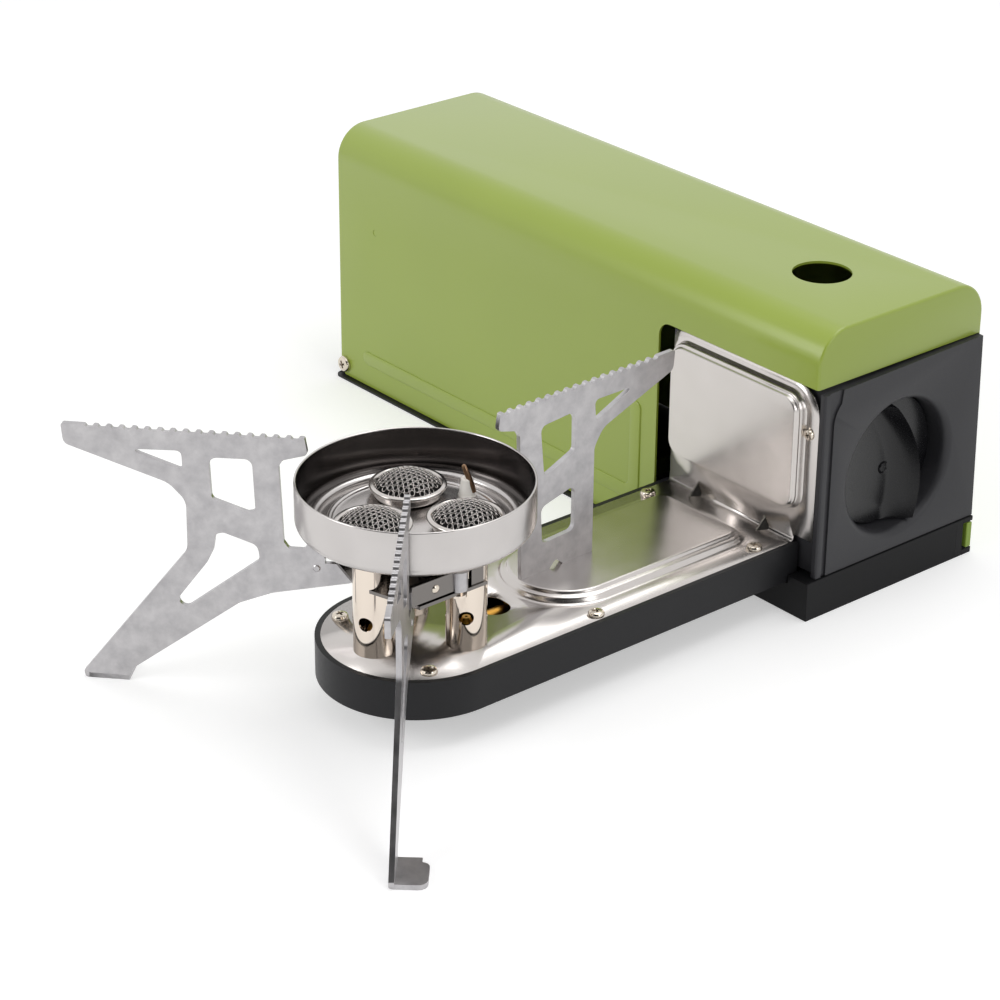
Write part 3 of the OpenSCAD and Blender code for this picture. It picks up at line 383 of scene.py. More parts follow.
def swept(points, radii, sides=14):
    """Round wire through points, with a radius at each."""
    bm = bmesh.new()
    rings = []
    for i, point in enumerate(points):
        way = points[min(i + 1, len(points) - 1)] - points[max(i - 1, 0)]
        stand = Matrix.Translation(point) @ way.to_track_quat("Z", "Y").to_matrix().to_4x4()
        rings.append(bmesh.ops.create_circle(bm, radius=radii[i], segments=sides, matrix=stand)["verts"])
    for low, high in zip(rings, rings[1:]):
        for k in range(sides):
            bm.faces.new((low[k], low[(k + 1) % sides], high[(k + 1) % sides], high[k]))
    bm.faces.new(rings[0])
    bm.faces.new(rings[-1])
    bmesh.ops.recalc_face_normals(bm, faces=bm.faces)
    return bm


def join(bm, other, place=None):
    """Adds another bmesh, moved into place, and frees it."""
    if place is not None:
        bmesh.ops.transform(other, matrix=place, verts=other.verts)
    scrap = bpy.data.meshes.new("scrap")
    other.to_mesh(scrap)
    other.free()
    bm.from_mesh(scrap)
    bpy.data.meshes.remove(scrap)


def block(size, centre):
    """Cuboid as a bmesh, for cutting."""
    bm = bmesh.new()
    bmesh.ops.create_cube(bm, size=1, matrix=Matrix.Translation(centre) @ Matrix.Diagonal((*size, 1)))
    return bm


def rod(radius, length, place, steps=48):
    """Cylinder centred on its place along its own Z, for cutting."""
    bm = bmesh.new()
    bmesh.ops.create_cone(bm, cap_ends=True, segments=steps, radius1=radius, radius2=radius,
                          depth=length, matrix=place)
    return bm


def carve(bm, tools, merge=True):
    """Cuts tools out of a closed bmesh, and merges its flat faces or leaves them as they come."""
    target = bpy.data.objects.new("carve_target", bpy.data.meshes.new("carve_target"))
    bm.to_mesh(target.data)
    bm.free()
    bpy.context.scene.collection.objects.link(target)
    helpers = []
    for i, tool in enumerate(tools):
        helper = bpy.data.objects.new(f"carve_tool_{i}", bpy.data.meshes.new(f"carve_tool_{i}"))
        tool.to_mesh(helper.data)
        tool.free()
        bpy.context.scene.collection.objects.link(helper)
        helpers.append(helper)
        cut = target.modifiers.new(f"cut_{i}", "BOOLEAN")
        cut.operation = "DIFFERENCE"
        cut.solver = "EXACT"
        cut.object = helper
    evaluated = target.evaluated_get(bpy.context.evaluated_depsgraph_get())
    made = bmesh.new()
    made.from_mesh(evaluated.to_mesh())
    evaluated.to_mesh_clear()
    for thing in [target, *helpers]:
        old = thing.data
        bpy.data.objects.remove(thing)
        bpy.data.meshes.remove(old)
    if merge:
        bmesh.ops.dissolve_limit(made, angle_limit=math.radians(0.5), verts=made.verts, edges=made.edges,
                                 use_dissolve_boundaries=False, delimit={"NORMAL"})
    return made


def turned(axis, degrees):
    """Rotation about a named axis."""
    return Matrix.Rotation(math.radians(degrees), 4, axis)


def moved(x, y, z):
    """Shift in millimetres."""
    return Matrix.Translation((x, y, z))


# Lid

def lid_body(inset):
    """Closed form of the lid, outside or inside, with its long top edges rolled."""
    wide = 2 * (CASE_HALF - inset)
    x0, x1 = CASE_FAR + inset, CASE_NEAR - inset
    top = LID_TOP - inset
    low = -5 if inset else LID_LOW
    bm = block((x1 - x0, wide, top - low), ((x0 + x1) / 2, 0, (top + low) / 2))
    long_edges = [e for e in bm.edges if all(abs(v.co.z - top) < 0.01 for v in e.verts)
                  and abs(e.verts[0].co.x - e.verts[1].co.x) > 1]
    bmesh.ops.bevel(bm, geom=long_edges, offset=13 - inset, offset_type="OFFSET", segments=14, profile=0.5,
                    affect="EDGES", material=-1)
    end_edges = [e for e in bm.edges if len(e.link_faces) == 2 and e.calc_face_angle(0) > 1.2
                 and abs(e.verts[0].co.x - e.verts[1].co.x) < 0.01
                 and max(v.co.z for v in e.verts) > low + 1]
    bmesh.ops.bevel(bm, geom=end_edges, offset=1.1 - min(inset, 0.7), offset_type="OFFSET", segments=4,
                    profile=0.5, affect="EDGES", material=-1)
    return bm


def make_lid():
    """Folded steel lid: rolled edges, pressed bead, front cut-out, band, thumb hole and dimple."""
    wall, band = 0.9, 87.0
    tools = [lid_body(wall)]
    tools.append(block((4, 2 * (CASE_HALF - wall), 34), (CASE_FAR, 0, -1)))
    tools.append(block((4, 2 * (CASE_HALF - wall), 2 * band), (CASE_NEAR, 0, 0)))
    mouth = slab([(54.75, -20), (160, -20), (160, band), (54.75, band, 5.5)], 6)
    bmesh.ops.transform(mouth, matrix=moved(0, -38, 0) @ turned("X", 90), verts=mouth.verts)
    tools.append(mouth)
    tools.append(rod(10.7, 12, moved(94.15, 0, LID_TOP), 64))
    tools.append(rod(1.4, 0.8, moved(-111.25, -41.25, 69.9) @ turned("X", 90), 24))
    for side in (-1, 1):
        tools.append(rod(1.6, 6, moved(PIVOT_X, side * CASE_HALF, PIVOT_Z) @ turned("X", 90), 24))
        corner = slab([(-140, -4), (-127.5, -4), (-127.5, LID_LOW), (PIVOT_X, LID_LOW),
                       (-137.5, PIVOT_Z, 0.1), (-140, PIVOT_Z)], 6)
        bmesh.ops.transform(corner, matrix=moved(0, side * CASE_HALF + 3, 0) @ turned("X", 90),
                            verts=corner.verts)
        tools.append(corner)
    bm = carve(lid_body(0), tools)
    settle(bm, "lid_sheet", "lid", GREEN, ["lid_shell"], edge=0.3, steps=2)
    bead_line = slab([(-119.75, 10.8, 2.7), (46.65, 10.8, 8), (46.65, 51.5, 2.7), (41.05, 51.5, 2.7),
                      (41.05, 16.4, 2.4), (-119.75, 16.4, 2.7)], 0.5)
    crest = [e for e in bead_line.edges if all(v.co.z > 0.4 for v in e.verts) and e.calc_face_angle(0) > 0.5]
    bmesh.ops.bevel(bead_line, geom=crest, offset=0.45, offset_type="OFFSET", segments=3, profile=0.5,
                    affect="EDGES", material=-1, clamp_overlap=True)
    settle(bead_line, "lid_bead", "lid", GREEN,
           place=moved(0, -CASE_HALF, 0) @ turned("X", 90), smooth=60)


# Turret

def blade_line(up):
    """How far the blade's crest stands back from the knob's centre line, at a height on its face."""
    return 9.85 - 0.232 * up - 0.0132 * up * up


def knob_height(back, up):
    """Height of the knob's face: a dish that sweeps up into the blade and drops behind it."""
    past = back - blade_line(up)
    if past > 0:
        return 3.0 + 9.2 * max(0.0, 1 - past / 1.8)
    dish = 2.0 * max(0.0, (-back - 3) / 21) ** 2
    return 3.0 + dish + 9.2 * max(0.0, 1 + past / 8.5) ** 2.4


def make_knob():
    """Round knob: a dished face, a curved finger blade and an oval dimple."""
    radius = 24.2
    bm = bmesh.new()
    bmesh.ops.create_grid(bm, x_segments=60, y_segments=48, size=1)
    for vert in bm.verts:
        up = radius * math.sin(vert.co.y * math.radians(86))
        wide = math.sqrt(radius * radius - up * up)
        crest = max(-wide + 0.3, min(blade_line(up), wide - 0.3))
        share = abs(vert.co.x) ** 1.25
        back = crest - share * (crest + wide) if vert.co.x < 0 else crest + share * (wide - crest)
        vert.co = (-up, back, 0)
    raised = bmesh.ops.extrude_face_region(bm, geom=bm.faces[:])["geom"]
    for vert in only_verts(raised):
        vert.co.z = knob_height(vert.co.y, -vert.co.x)
    dimple = lathe([(0, 2.0), (1.5, 2.0), (1.75, 2.35), (2.1, 2.42), (2.4, 2.0), (2.4, 1.6), (0, 1.6)], 32)
    join(bm, dimple, moved(3.8, 1.2, 1.1))
    bmesh.ops.recalc_face_normals(bm, faces=bm.faces)
    # local Z is the knob's axis, pointing out of the panel
    stand = moved(KNOB_SEAT_X, 0, KNOB_Z) @ turned("Y", 90)
    settle(bm, "knob", "knob", KNOB_BLACK, ["control_knob"], place=stand, smooth=48)


def make_housing():
    """Moulded housing: panel edges set flush with the lid, and a soft lip round the knob recess."""
    bm = merged_copy("turret_housing")
    for vert in bm.verts:
        if vert.co.x < 134.2:
            continue
        if vert.co.y > 41:
            vert.co.y = 39.6 + (85 - vert.co.z) * 0.03
        if -39 < vert.co.y < -37.5:
            vert.co.y = -36.7
        if vert.co.y < -41.5:
            vert.co.y += 3.2
        if vert.co.z > 80.5:
            vert.co.z = 85.2 + (vert.co.y + 39) * 0.019
    lip = lathe([(0, -3.3), (25.03, -3.3), *arc((28.4, -3.3), 3.37, 180, 90, 8), (28.4, 2), (0, 2)], 128)
    bmesh.ops.transform(lip, matrix=moved(PANEL_X, 0, KNOB_Z) @ turned("Y", 90), verts=lip.verts)
    settle(carve(bm, [lip]), "turret_housing_soft", "turret", CHARCOAL, ["turret_housing"],
           edge=0.4, steps=3, smooth=32)


def make_block():
    """Base block with the face that closes in round the release tab, and the tab itself."""
    bm = merged_copy("base_block")
    for size, centre in (((2.5, 3.7, 14.8), (135.9, 35.1, 7.4)), ((2.5, 5.1, 1.9), (135.9, 39.3, 13.85)),
                         ((2.5, 5.1, 2.2), (135.9, 39.3, 1.1))):
        join(bm, block(size, centre))
    settle(bm, "base_block_soft", "base", BLOCK_BLACK, ["base_block"], edge=0.35, steps=2)
    tab = block((4.15, 4.0, 13.0), (132.325, 37.5, 7.8))
    join(tab, block((3.05, 2.7, 9.9), (135.875, 40.05, 7.55)))
    settle(tab, "release_tab_soft", "tab", TAB_GREEN, ["release_tab"], edge=0.4, steps=3)


def make_mouldings():
    """Base plate and arm tray, with their edges eased."""
    dressed_node("base_plate", "base", BASE_BLACK, 0.25, 2)
    dressed_node("arm_tray", "turret", TRAY_BLACK, 0.5, 3)


# Screws

def pan_screw(radius, height):
    """Pan head with a cross recess, its seat at z = 0."""
    profile = [(0, -0.3), (radius * 0.96, -0.3), (radius, 0.15), (radius * 0.98, height * 0.45),
               (radius * 0.86, height * 0.8), (radius * 0.6, height * 0.97), (0, height)]
    head = lathe(profile, 32)
    tools = []
    for angle in (0, 90):
        slot = slab([(-radius * 0.62, height * 0.95 + 1), (-radius * 0.3, height * 0.3),
                     (radius * 0.3, height * 0.3), (radius * 0.62, height * 0.95 + 1)], radius * 0.26)
        stand = turned("Z", angle + 20) @ turned("X", 90) @ moved(0, 0, -radius * 0.13)
        bmesh.ops.transform(slot, matrix=stand, verts=slot.verts)
        tools.append(slot)
    return carve(head, tools)


def make_screws():
    """Plate screws, shield screw and lid pivot screws."""
    plates = bmesh.new()
    for i, (x, y) in enumerate([(27.5, -54.3), (28.7, -129.1), (23.7, -196.7)]):
        for side in (-1, 1):
            join(plates, pan_screw(2.9, 1.9), moved(side * x, y, PLATE_Z) @ turned("Z", 37 * i + 11 * side))
    settle(plates, "plate_screw_heads", "turret", SCREW_NICKEL, ["plate_screws"], AT_SWING,
           edge=0.12, steps=2)
    settle(pan_screw(2.2, 1.5), "shield_screw_head", "turret", SCREW_NICKEL,
           ["shield_screw"], AT_SWING @ moved(37, FOLD_Y, 69.1) @ turned("X", 90), edge=0.1)
    pivots = bmesh.new()
    for side in (-1, 1):
        seat = moved(PIVOT_X, side * (CASE_HALF + 0.3), PIVOT_Z) @ turned("X", -side * 90)
        join(pivots, pan_screw(3.4, 1.8), seat)
    settle(pivots, "pivot_screw_heads", "base", SCREW_NICKEL, ["lid_pivot_screws"], edge=0.12)


# Arm plate

def pressed(bm, face, rings):
    """Raises a pad out of a flat face by one ring of inset and height after another."""
    for inset, lift in rings:
        bmesh.ops.inset_region(bm, faces=[face], thickness=inset, depth=lift, use_even_offset=True,
                               use_boundary=True)


def padded_sheet(outline, pad, rings, windows=()):
    """Flat sheet with one pressed pad, facing up."""
    bm = blank(outline, [pad, *windows])
    start = set(bm.faces[:])
    ring(bm, pad)
    bmesh.ops.remove_doubles(bm, verts=bm.verts, dist=0.001)
    face = max((f for f in bm.faces if f not in start and len(f.verts) > 6), key=lambda f: f.calc_area())
    if face.normal.z < 0:
        face.normal_flip()
    pressed(bm, face, rings)
    return bm


def bead(height, width):
    """Rings of a pad edge: a fillet, a steep wall, a narrow ledge and a second smaller rise."""
    return [(0.20 * width, 0.04 * height), (0.10 * width, 0.12 * height), (0.05 * width, 0.20 * height),
            (0.05 * width, 0.18 * height), (0.06 * width, 0.08 * height), (0.20 * width, 0.02 * height),
            (0.08 * width, 0.06 * height), (0.05 * width, 0.14 * height), (0.05 * width, 0.10 * height),
            (0.06 * width, 0.05 * height), (0.10 * width, 0.01 * height)]


def make_arm_plate():
    """One bright sheet bent up into the heat shield, with a pressed pad on each face and two darts."""
    bend = 1.4
    half = 31.7
    floor = padded_sheet(
        [(-half, FOLD_Y - bend), (-half, BURNER_Y - half, half - 0.05), (half, BURNER_Y - half, half - 0.05),
         (half, FOLD_Y - bend)],
        [(-24.5, -49.5, 9), (-24.5, -142, 23.9), (23.5, -142, 23.9), (23.5, -49.5, 9)],
        bead(3.7, 5.4),
        [[(-5.5, -157.5, 5.4), (8.5, -157.5, 5.4), (8.5, -146.5, 5.4), (-5.5, -146.5, 5.4)]])
    bmesh.ops.translate(floor, vec=(0, 0, PLATE_Z), verts=floor.verts)
    wall = padded_sheet(
        [(-half, PLATE_Z + bend), (half, PLATE_Z + bend), (half, 28.65), (40.8, 28.65), (40.8, 87, 12),
         (-half, 87, 5)],
        [(-31.3, 37.4, 8), (35.9, 37.4, 8), (35.9, 84.1, 8), (-31.3, 84.1, 8)],
        bead(4.4, 3.0))
    bmesh.ops.transform(wall, matrix=moved(0, FOLD_Y, 0) @ turned("X", 90), verts=wall.verts)
    # the bend between the two
    fold = bmesh.new()
    ends = [fold.verts.new((s * half, FOLD_Y - bend, PLATE_Z)) for s in (-1, 1)]
    line = fold.edges.new(ends)
    bmesh.ops.spin(fold, geom=[*ends, line], cent=(0, FOLD_Y - bend, PLATE_Z + bend), axis=(1, 0, 0),
                   angle=math.radians(90), steps=6, use_duplicate=False)
    join(floor, wall)
    join(floor, fold)
    bmesh.ops.remove_doubles(floor, verts=floor.verts, dist=0.004)
    bmesh.ops.recalc_face_normals(floor, faces=floor.faces)
    if max(floor.faces, key=lambda f: f.calc_area()).normal.dot(Vector((0, -1, 1))) < 0:
        bmesh.ops.reverse_faces(floor, faces=floor.faces)
    settle(floor, "arm_sheet", "turret", MIRROR, ["arm_plate"], AT_SWING, sheet=0.8,
           smooth=42)
    darts = bmesh.new()
    for x in (-16.8, 17.7):
        gusset = bmesh.new()
        corners = [(x - 3.9, FOLD_Y + 0.3, PLATE_Z - 0.2), (x + 3.9, FOLD_Y + 0.3, PLATE_Z - 0.2),
                   (x, FOLD_Y - 5.4, PLATE_Z - 0.3), (x, FOLD_Y + 0.2, PLATE_Z + 5.4)]
        bmesh.ops.convex_hull(gusset, input=[gusset.verts.new(c) for c in corners])
        bmesh.ops.recalc_face_normals(gusset, faces=gusset.faces)
        slopes = [f for f in gusset.faces if abs(f.normal.x) > 0.3]
        bmesh.ops.inset_individual(gusset, faces=slopes, thickness=0.7, depth=-0.5)
        join(darts, gusset)
    # the darts take the darker steel: painted shade in the fold
    settle(darts, "fold_darts", "turret", DART_PAINTED_SHADE, place=AT_SWING, edge=0.3, steps=2)


# Burner

def make_bowl():
    """Wind bowl and the beaded liner inside it."""
    wall, foot = 0.8, 3.5
    outside = [(0, BOWL_FLOOR), *arc((BOWL_R - foot, BOWL_FLOOR + foot), foot, -90, 0, 8)]
    inside = [*arc((BOWL_R - foot, BOWL_FLOOR + foot), foot - wall, 0, -90, 8), (0, BOWL_FLOOR + wall)]
    rim = arc((BOWL_R - wall / 2, BOWL_RIM - wall / 2), wall / 2, 0, 180, 6)
    bm = lathe([*outside, *rim, *inside], 144)
    tools = [rod(TUBE_HOLE, 8, turned("Z", angle) @ moved(TUBE_CIRCLE, 0, BOWL_FLOOR))
             for angle in TUBE_ANGLES.values()]
    bowl = settle(carve(bm, tools), "wind_bowl_spun", "turret", SPUN, ["wind_bowl"],
                  AT_BURNER, smooth=40)
    # the inner wall takes a darker copy of the steel: painted shade for the dark that the inside of the bowl
    # mirrors
    bowl.data.materials.append(SPUN_PAINTED_SHADE)
    axis = Vector((SWING_X, BURNER_Y, 0)) * MM
    for face in bowl.data.polygons:
        out = face.center - axis
        out.z = 0
        if face.normal.dot(out) < -0.2 * out.length and face.center.z < (BOWL_RIM - 0.3) * MM:
            face.material_index = 1
    base = BOWL_FLOOR + wall + 0.05
    ring_r = BOWL_R - foot - 0.3
    profile = [(0, base), (ring_r, base), (ring_r, base + 0.8),
               *arc((ring_r - 2.2, base + 0.8), 1.9, 0, 180, 10), (ring_r - 5.2, base + 0.9),
               *arc((ring_r - 7.6, base + 0.7), 1.1, 20, 160, 6), (ring_r - 9.6, base + 0.8), (0, base + 0.8)]
    liner = lathe(profile, 128)
    tools = [rod(TUBE_HOLE, 12, turned("Z", angle) @ moved(TUBE_CIRCLE, 0, base))
             for angle in TUBE_ANGLES.values()]
    tools.append(rod(3.0, 12, moved(*SPARK_SPOT, base)))
    settle(carve(liner, tools), "liner_pressed", "turret", SPUN, ["bowl_liner"], AT_BURNER,
           smooth=40)


def perforated_dome(radius, rise, pitch):
    """Mesh cap: hexagons merged, opened and laid on a dome; smoothing later rounds their holes."""
    bm = bmesh.new()
    reach = int(radius / pitch) + 2
    for row in range(-reach, reach + 1):
        for col in range(-reach, reach + 1):
            x = pitch * (col + 0.5 * (row % 2))
            y = pitch * row * math.sqrt(3) / 2
            if math.hypot(x, y) < radius - 0.2 * pitch:
                bmesh.ops.create_circle(bm, cap_ends=True, radius=pitch / math.sqrt(3), segments=6,
                                        matrix=moved(x, y, 0) @ turned("Z", 30))
    bmesh.ops.remove_doubles(bm, verts=bm.verts, dist=0.02)
    cells = bm.faces[:]
    bmesh.ops.inset_individual(bm, faces=cells, thickness=pitch * 0.145)
    bmesh.ops.delete(bm, geom=cells, context="FACES")
    ball = (radius * radius + rise * rise) / (2 * rise)
    for vert in bm.verts:
        flat = min(math.hypot(vert.co.x, vert.co.y), radius + 0.3)
        vert.co.z = math.sqrt(ball * ball - flat * flat) - (ball - rise)
    bmesh.ops.recalc_face_normals(bm, faces=bm.faces)
    if next(iter(bm.faces)).normal.z < 0:
        bmesh.ops.reverse_faces(bm, faces=bm.faces)
    return bm


def make_head(name, angle):
    """Burner head: drawn cup with a rolled flange, a perforated dome, and a black disc below it: painted
    shade seen through the dome's holes.
    """
    spot = AT_BURNER @ turned("Z", angle) @ moved(TUBE_CIRCLE, 0, 0)
    low = BOWL_FLOOR + 2.0
    cup = lathe([(7.0, low), (10.4, low), *arc((10.4, low + 0.9), 0.9, -90, 0, 4),
                 (11.3, HEAD_Z - 0.4), *arc((12.4, HEAD_Z + 0.5), 0.6, -90, 90, 6),
                 (11.6, HEAD_Z + 1.25), (11.0, HEAD_Z + 0.9), (10.6, HEAD_Z + 0.2), (10.6, low + 1.2),
                 (7.0, low + 1.0)], 64)
    settle(cup, f"head_cup_{name}", "turret", HEAD_STEEL, [f"burner_head_{name}"], spot)
    dome = perforated_dome(DOME_R, DOME_RISE, 1.95)
    settle(dome, f"head_dome_{name}", "turret", HEAD_STEEL,
           place=spot @ moved(0, 0, HEAD_Z + 0.75), sheet=0.3, levels=1, smooth=180)
    ball = (DOME_R ** 2 + DOME_RISE ** 2) / (2 * DOME_RISE)
    # black disc under the dome: painted shade behind its holes
    shade_disc_r = 10.4
    edge_angle = 90 - math.degrees(math.asin(shade_disc_r / ball))
    cap = arc((0, HEAD_Z + 0.15 + DOME_RISE - ball), ball - 0.2, 90, edge_angle, 8)
    shade_disc = lathe([*cap, (shade_disc_r, HEAD_Z - 0.8), (0, HEAD_Z - 0.8)], 48)
    settle(shade_disc, f"head_shade_disc_{name}", "turret", HOLE_SHADE_BLACK, place=spot)


def make_tube(name, angle, turn):
    """Mixing tube: thin plated tube with four air holes."""
    radius, wall, top = 6.93, 0.8, BOWL_FLOOR + 3.2
    tube = lathe([(radius - wall, PLATE_Z), (radius, PLATE_Z), (radius, top), (radius - wall, top)], 80)
    tools = [rod(2.5, 30, moved(0, 0, 38.1) @ turned("Z", turn + q) @ turned("Y", 90)) for q in (0, 90)]
    spot = AT_BURNER @ turned("Z", angle) @ moved(TUBE_CIRCLE, 0, 0)
    settle(carve(tube, tools), f"tube_{name}", "turret", NICKEL, [f"mixing_tube_{name}"],
           spot, edge=0.15, steps=2)


def make_igniter():
    """Ceramic sleeve with rounded shoulders, and the spark pin that leans out of it."""
    low = BOWL_FLOOR - 3
    sleeve = lathe([(0, low), (1.9, low), (1.9, BOWL_FLOOR + 0.85), (3.0, BOWL_FLOOR + 0.9),
                    *arc((2.6, BOWL_FLOOR + 2.0), 0.45, -30, 60, 3), (2.2, BOWL_FLOOR + 6.0),
                    *arc((1.5, BOWL_FLOOR + 7.6), 0.6, 0, 90, 4), (0, BOWL_FLOOR + 8.2)], 40)
    spot = AT_BURNER @ moved(*SPARK_SPOT, 0)
    settle(sleeve, "spark_sleeve", "turret", CERAMIC, ["igniter_insulator"], spot)
    # the pin leans towards the left head, thicker below its pointed end
    path = [(2.3, 0.9, 3.4), (1.9, 0.5, 5.6), (1.1, -0.1, 8.3), (0.3, -0.8, 10.8), (-0.3, -1.25, 12.6),
            (-0.5, -1.4, 13.0)]
    wire = swept([Vector((x, y, BOWL_FLOOR + z)) for x, y, z in path], [0.9, 1.0, 1.0, 0.95, 0.8, 0.4])
    settle(wire, "spark_wire", "turret", PIN_STEEL, ["igniter_pin"], spot, smooth=50)


# Pot supports

def toothed(outer, top, inner, count, depth):
    """Corners of the waved top edge, from its outer end back to the burner."""
    pitch = (outer - inner) / count
    line = []
    for i in reversed(range(count)):
        centre = inner + (i + 0.5) * pitch
        line += [(centre + 0.34 * pitch, top, 0.7), (centre + 0.18 * pitch, top - depth, 0.7),
                 (centre - 0.18 * pitch, top - depth, 0.7), (centre - 0.34 * pitch, top, 0.7)]
    return line


def blade(outline, windows, thickness):
    """Upright sheet with cut windows, drawn as reach and height and centred on its plane."""
    tools = []
    for corners in windows:
        tool = slab(corners, thickness + 2)
        bmesh.ops.translate(tool, vec=(0, 0, -1), verts=tool.verts)
        tools.append(tool)
    bm = carve(slab(outline, thickness, False), tools, False)
    bmesh.ops.transform(bm, matrix=turned("X", 90) @ moved(0, 0, -thickness / 2), verts=bm.verts)
    return bm


def make_supports():
    """The two folding supports with their hooks, links, rivets, eyes and feet, and the fixed rear one."""
    thick, reach, top, angle = 1.8, 116.6, 94.5, 42.4
    hinge_x, hinge_z, link_z, inner = 22.2, 49.9, 55.0, 30
    crown = [(reach, top, 1), *toothed(109.2, top, 37, 17, 1.05), (36, top, 0.6), (35, 88.5, 1.5),
             (43.3, 86.1, 1.5), (44.7, 83.8, 1.5)]
    side_outline = [*crown, (43.7, 56.6, 1.2), (42.1, 54.2, 1.2), (37, 54.2, 0.8), (34, 58.6, 0.8),
                    (inner, 58.6), (inner, 49.6), (20.5, 49.6, 1.2), (20.5, 43.1, 2), (47.9, 37.3, 12),
                    (59.2, 32.7, 6), (96.6, 4.7, 2), (98.5, 0), (113.2, 0, 1), (113.7, 2.5, 1),
                    (76.1, 51.2, 6), (75.9, 69.2, 6), (81.5, 75.3, 8), (reach - 0.6, 87.3, 2.5)]
    side_windows = [
        [(94.6, 86.7, 0.8), (76.8, 87.2, 1.8), (76.6, 80.4, 1)],
        [(67.8, 85.4, 2.6), (53.5, 85.7, 2.6), (52.8, 67.1, 1.6), (55.4, 66.5, 1.6), (67.3, 70.6, 2)],
        [(66.4, 57.8, 1.7), (63.7, 58.4, 1.7), (52.5, 54.5, 3), (51.8, 49.3, 2.6), (77, 29.7, 2.3),
         (80.8, 31.7, 2.3), (69.5, 47.2, 9), (67.3, 51.8, 5)]]
    foot = [(98, -0.9), (113.2, -0.9, 1.2), (113.2, 11, 3), (100.5, 11, 2.8), (100.5, 8.5, 1.2), (98, 8.5)]
    hinge_s, hinge_n = hinge_x * math.cos(math.radians(angle)), hinge_x * math.sin(math.radians(angle))
    link_len = math.hypot(inner - hinge_s, hinge_n)
    for side, name in ((1, "right"), (-1, "left")):
        leg = blade(side_outline, side_windows, thick)
        join(leg, slab(foot, thick))
        stud = lathe([(0, -thick / 2 - 0.35), (0.9, -thick / 2 - 0.35), (1.3, -thick / 2), (1.3, thick / 2),
                      (0.9, thick / 2 + 0.35), (0, thick / 2 + 0.35)], 20)
        join(leg, stud, moved(32.9, 0, 47.6) @ turned("X", 90))
        bmesh.ops.rotate(leg, cent=(0, 0, 0), matrix=Matrix.Rotation(math.radians(-angle), 3, "Z"),
                         verts=leg.verts)
        lean = moved(hinge_x, 0, hinge_z) @ turned("Z", -66) @ turned("Y", 2) @ turned("Z", 66)
        join(leg, lathe([(1.56, 1.5), (3.0, 1.5), (3.0, 8.7), (1.56, 8.7)], 40), lean)
        if side < 0:
            bmesh.ops.scale(leg, vec=(-1, 1, 1), verts=leg.verts)
            bmesh.ops.reverse_faces(leg, faces=leg.faces)
        # the link takes the dark bracket steel: painted shade from the bowl above
        link = block((thick, link_len - 1, 7.2), (side * hinge_x, -link_len / 2 - thick / 2 - 0.5, link_z))
        settle(link, f"support_{name}_link", f"support_{name}", SHADED_BRACKET_STEEL, place=AT_BURNER,
               edge=0.3, steps=3)
        rivet = lathe([(0, -0.2), (1.5, -0.2), (1.5, 0.1), (1.1, 0.5), (0.5, 0.62), (0, 0.62)], 24)
        settle(rivet, f"support_{name}_rivet", f"support_{name}", SCREW_NICKEL,
               place=AT_BURNER @ moved(side * (hinge_x + thick / 2), -10.3, link_z) @ turned("Y", side * 90))
        settle(leg, f"support_{name}_blade", f"support_{name}", SUPPORT_STEEL,
               [f"pot_support_{name}"], AT_BURNER, edge=0.22, steps=2, smooth=32)
    foot_z = PLATE_Z + 3.7
    rear = [*crown, (46, foot_z), (59, foot_z, 1), (62, foot_z + 3, 1.5), (65, foot_z, 1), (79, foot_z, 0.5),
            (79, 69.2, 5), (83, 75.3, 7), (reach - 0.6, 87.3, 2.5)]
    rear_windows = [
        [(78.8, 86.8, 1.8), (97.1, 86.6, 0.8), (79.5, 79, 1)],
        [(54, 84.3, 2.4), (68, 85.3, 2), (69.8, 83, 2), (69.9, 70.9, 2), (55.9, 65.2, 1.6)],
        [(54.6, 54, 2.6), (68.6, 57.4, 1.6), (70.3, 55.4, 1.6), (70.2, 40.9, 2.2), (55.3, 40.2, 2)]]
    settle(blade(rear, rear_windows, thick), "support_rear_blade", "turret",
           SUPPORT_STEEL, ["pot_support_rear"], AT_BURNER @ turned("Z", 92), edge=0.22, steps=2, smooth=32)


def make_bracket():
    """Sheet bracket under the bowl, with its sheared edges eased."""
    # the bracket takes the dark bracket steel: painted shade from the bowl above
    dressed_node("burner_bracket", "turret", SHADED_BRACKET_STEEL, 0.25, 2)


# Carried-over CAD nodes

def paint_nodes():
    """Gives each CAD node that stays its finish."""
    finishes = {
        "cartridge_saddles": SADDLE_STEEL, "swing_spindle": NICKEL, "valve_body": ZINC,
        "cartridge_socket": ZINC, "piezo_igniter": WHITE_ABS, "valve_stem": NICKEL, "gas_pipe": BRASS,
        "gas_manifold": BRASS, "gas_jets": BRASS, "hinge_pins": NICKEL,
    }
    for node, material in finishes.items():
        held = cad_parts[node].data.materials
        held.clear()
        held.append(material)


# Stage

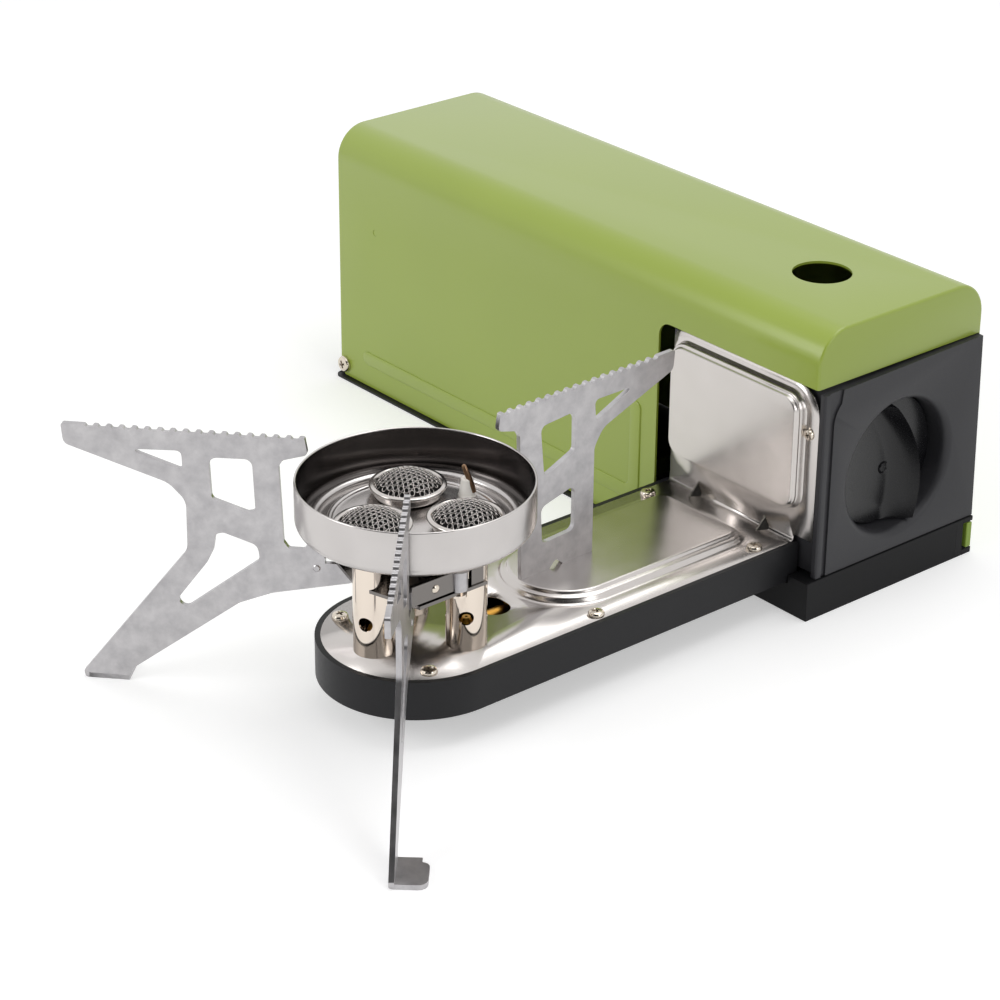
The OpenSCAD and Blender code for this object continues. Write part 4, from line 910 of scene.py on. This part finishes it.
def card(name, azimuth, elevation, distance, size, strength):
    """Board that only mirrors see, held towards the burner from a side and a height in degrees."""
    bm = bmesh.new()
    bmesh.ops.create_grid(bm, x_segments=1, y_segments=1, size=0.5)
    mesh = bpy.data.meshes.new(name)
    bm.to_mesh(mesh)
    bm.free()
    board = bpy.data.objects.new(name, mesh)
    bpy.context.scene.collection.objects.link(board)
    flat, rise = math.radians(azimuth), math.radians(elevation)
    way = Vector((math.cos(flat) * math.cos(rise), math.sin(flat) * math.cos(rise), math.sin(rise)))
    board.location = Vector((SWING_X, BURNER_Y, 70)) * MM + way * distance
    board.rotation_euler = way.to_track_quat("Z", "Y").to_euler()
    board.scale = (size[0], size[1], 1)
    board.visible_camera = False
    board.visible_diffuse = False
    board.visible_shadow = False
    board.visible_transmission = False
    paint = bpy.data.materials.new(name)
    paint.use_nodes = True
    paint.node_tree.nodes.clear()
    glow = add(paint.node_tree, "ShaderNodeEmission", {"Color": (1, 1, 1, 1), "Strength": strength})
    add(paint.node_tree, "ShaderNodeOutputMaterial", (), {"Surface": glow.outputs[0]})
    mesh.materials.append(paint)


def rays_seen(tree, *kinds):
    """1 for rays of the named kinds, such as camera rays, and 0 for the rest."""
    path = add(tree, "ShaderNodeLightPath")
    seen = path.outputs[kinds[0]]
    for kind in kinds[1:]:
        either = add(tree, "ShaderNodeMath", (), {0: seen, 1: path.outputs[kind]}, operation="MAXIMUM")
        seen = either.outputs[0]
    return seen


def make_stage():
    """Pale floor, soft studio light, a dark board for the metal to mirror, and the camera."""
    bm = bmesh.new()
    bmesh.ops.create_grid(bm, x_segments=2, y_segments=2, size=8)
    mesh = bpy.data.meshes.new("floor")
    bm.to_mesh(mesh)
    bm.free()
    floor = bpy.data.objects.new("floor", mesh)
    bpy.context.scene.collection.objects.link(floor)
    paper = bpy.data.materials.new("white_paper")
    paper.use_nodes = True
    tree = paper.node_tree
    tree.nodes.clear()
    seen = rays_seen(tree, "Is Camera Ray", "Is Glossy Ray")
    matt = add(tree, "ShaderNodeBsdfDiffuse", {"Color": linear("#e4e4e4")})
    glow = add(tree, "ShaderNodeEmission", {"Color": (1, 1, 1, 1), "Strength": 0.42})
    lit = add(tree, "ShaderNodeAddShader", (), {0: matt.outputs[0], 1: glow.outputs[0]})
    both = add(tree, "ShaderNodeMixShader", (), {0: seen, 1: matt.outputs[0], 2: lit.outputs[0]})
    add(tree, "ShaderNodeOutputMaterial", (), {"Surface": both.outputs[0]})
    mesh.materials.append(paper)

    world = bpy.data.worlds.new("studio")
    bpy.context.scene.world = world
    world.use_nodes = True
    tree = world.node_tree
    tree.nodes.clear()
    seen = rays_seen(tree, "Is Camera Ray", "Is Glossy Ray", "Is Transmission Ray")
    soft = add(tree, "ShaderNodeBackground", {"Color": linear("#ffffff"), "Strength": 0.42})
    white = add(tree, "ShaderNodeBackground", {"Color": linear("#ffffff"), "Strength": 1.0})
    both = add(tree, "ShaderNodeMixShader", (), {0: seen, 1: soft.outputs[0], 2: white.outputs[0]})
    add(tree, "ShaderNodeOutputWorld", (), {"Surface": both.outputs[0]})

    for name, spot, aim, size, power in (
            ("top_box", (0.15, 0.35, 1.5), (0, 0, 0), (1.3, 0.9), 8.0),
            ("front_box", (-0.35, -1.7, 0.9), (0, 0, 0.05), (1.2, 0.9), 12.0),
            ("near_box", (1.7, -0.1, 0.8), (0, 0, 0.05), (0.9, 0.9), 5.0)):
        lamp = bpy.data.lights.new(name, "AREA")
        lamp.shape = "RECTANGLE"
        lamp.size, lamp.size_y = size
        lamp.energy = power
        holder = bpy.data.objects.new(name, lamp)
        holder.location = spot
        holder.rotation_euler = (Vector(aim) - Vector(spot)).to_track_quat("-Z", "Y").to_euler()
        bpy.context.scene.collection.objects.link(holder)

    card("dark_board", 312, 32, 0.75, (1.5, 0.85), 0.02)

    lens = bpy.data.cameras.new("camera")
    lens.sensor_width = 36
    lens.lens = 107.715
    lens.clip_start, lens.clip_end = 0.05, 60
    camera = bpy.data.objects.new("camera", lens)
    # solved from the edges of the case
    camera.matrix_world = Matrix(((0.641834, -0.345013, 0.684847, 0.77309),
                                  (0.766811, 0.280564, -0.577308, -0.72044),
                                  (0.007035, 0.895684, 0.444635, 0.50479),
                                  (0, 0, 0, 1)))
    bpy.context.scene.collection.objects.link(camera)
    bpy.context.scene.camera = camera
    bpy.context.scene.view_settings.view_transform = "Standard"


make_lid()
make_knob()
make_housing()
make_block()
make_mouldings()
make_screws()
make_arm_plate()
make_bowl()
for head, head_angle in TUBE_ANGLES.items():
    make_head(head, head_angle)
for tube, tube_turn in (("front", 28), ("right", -70), ("left", 28)):
    make_tube(tube, TUBE_ANGLES[tube], tube_turn)
make_igniter()
make_supports()
make_bracket()
paint_nodes()
make_stage()
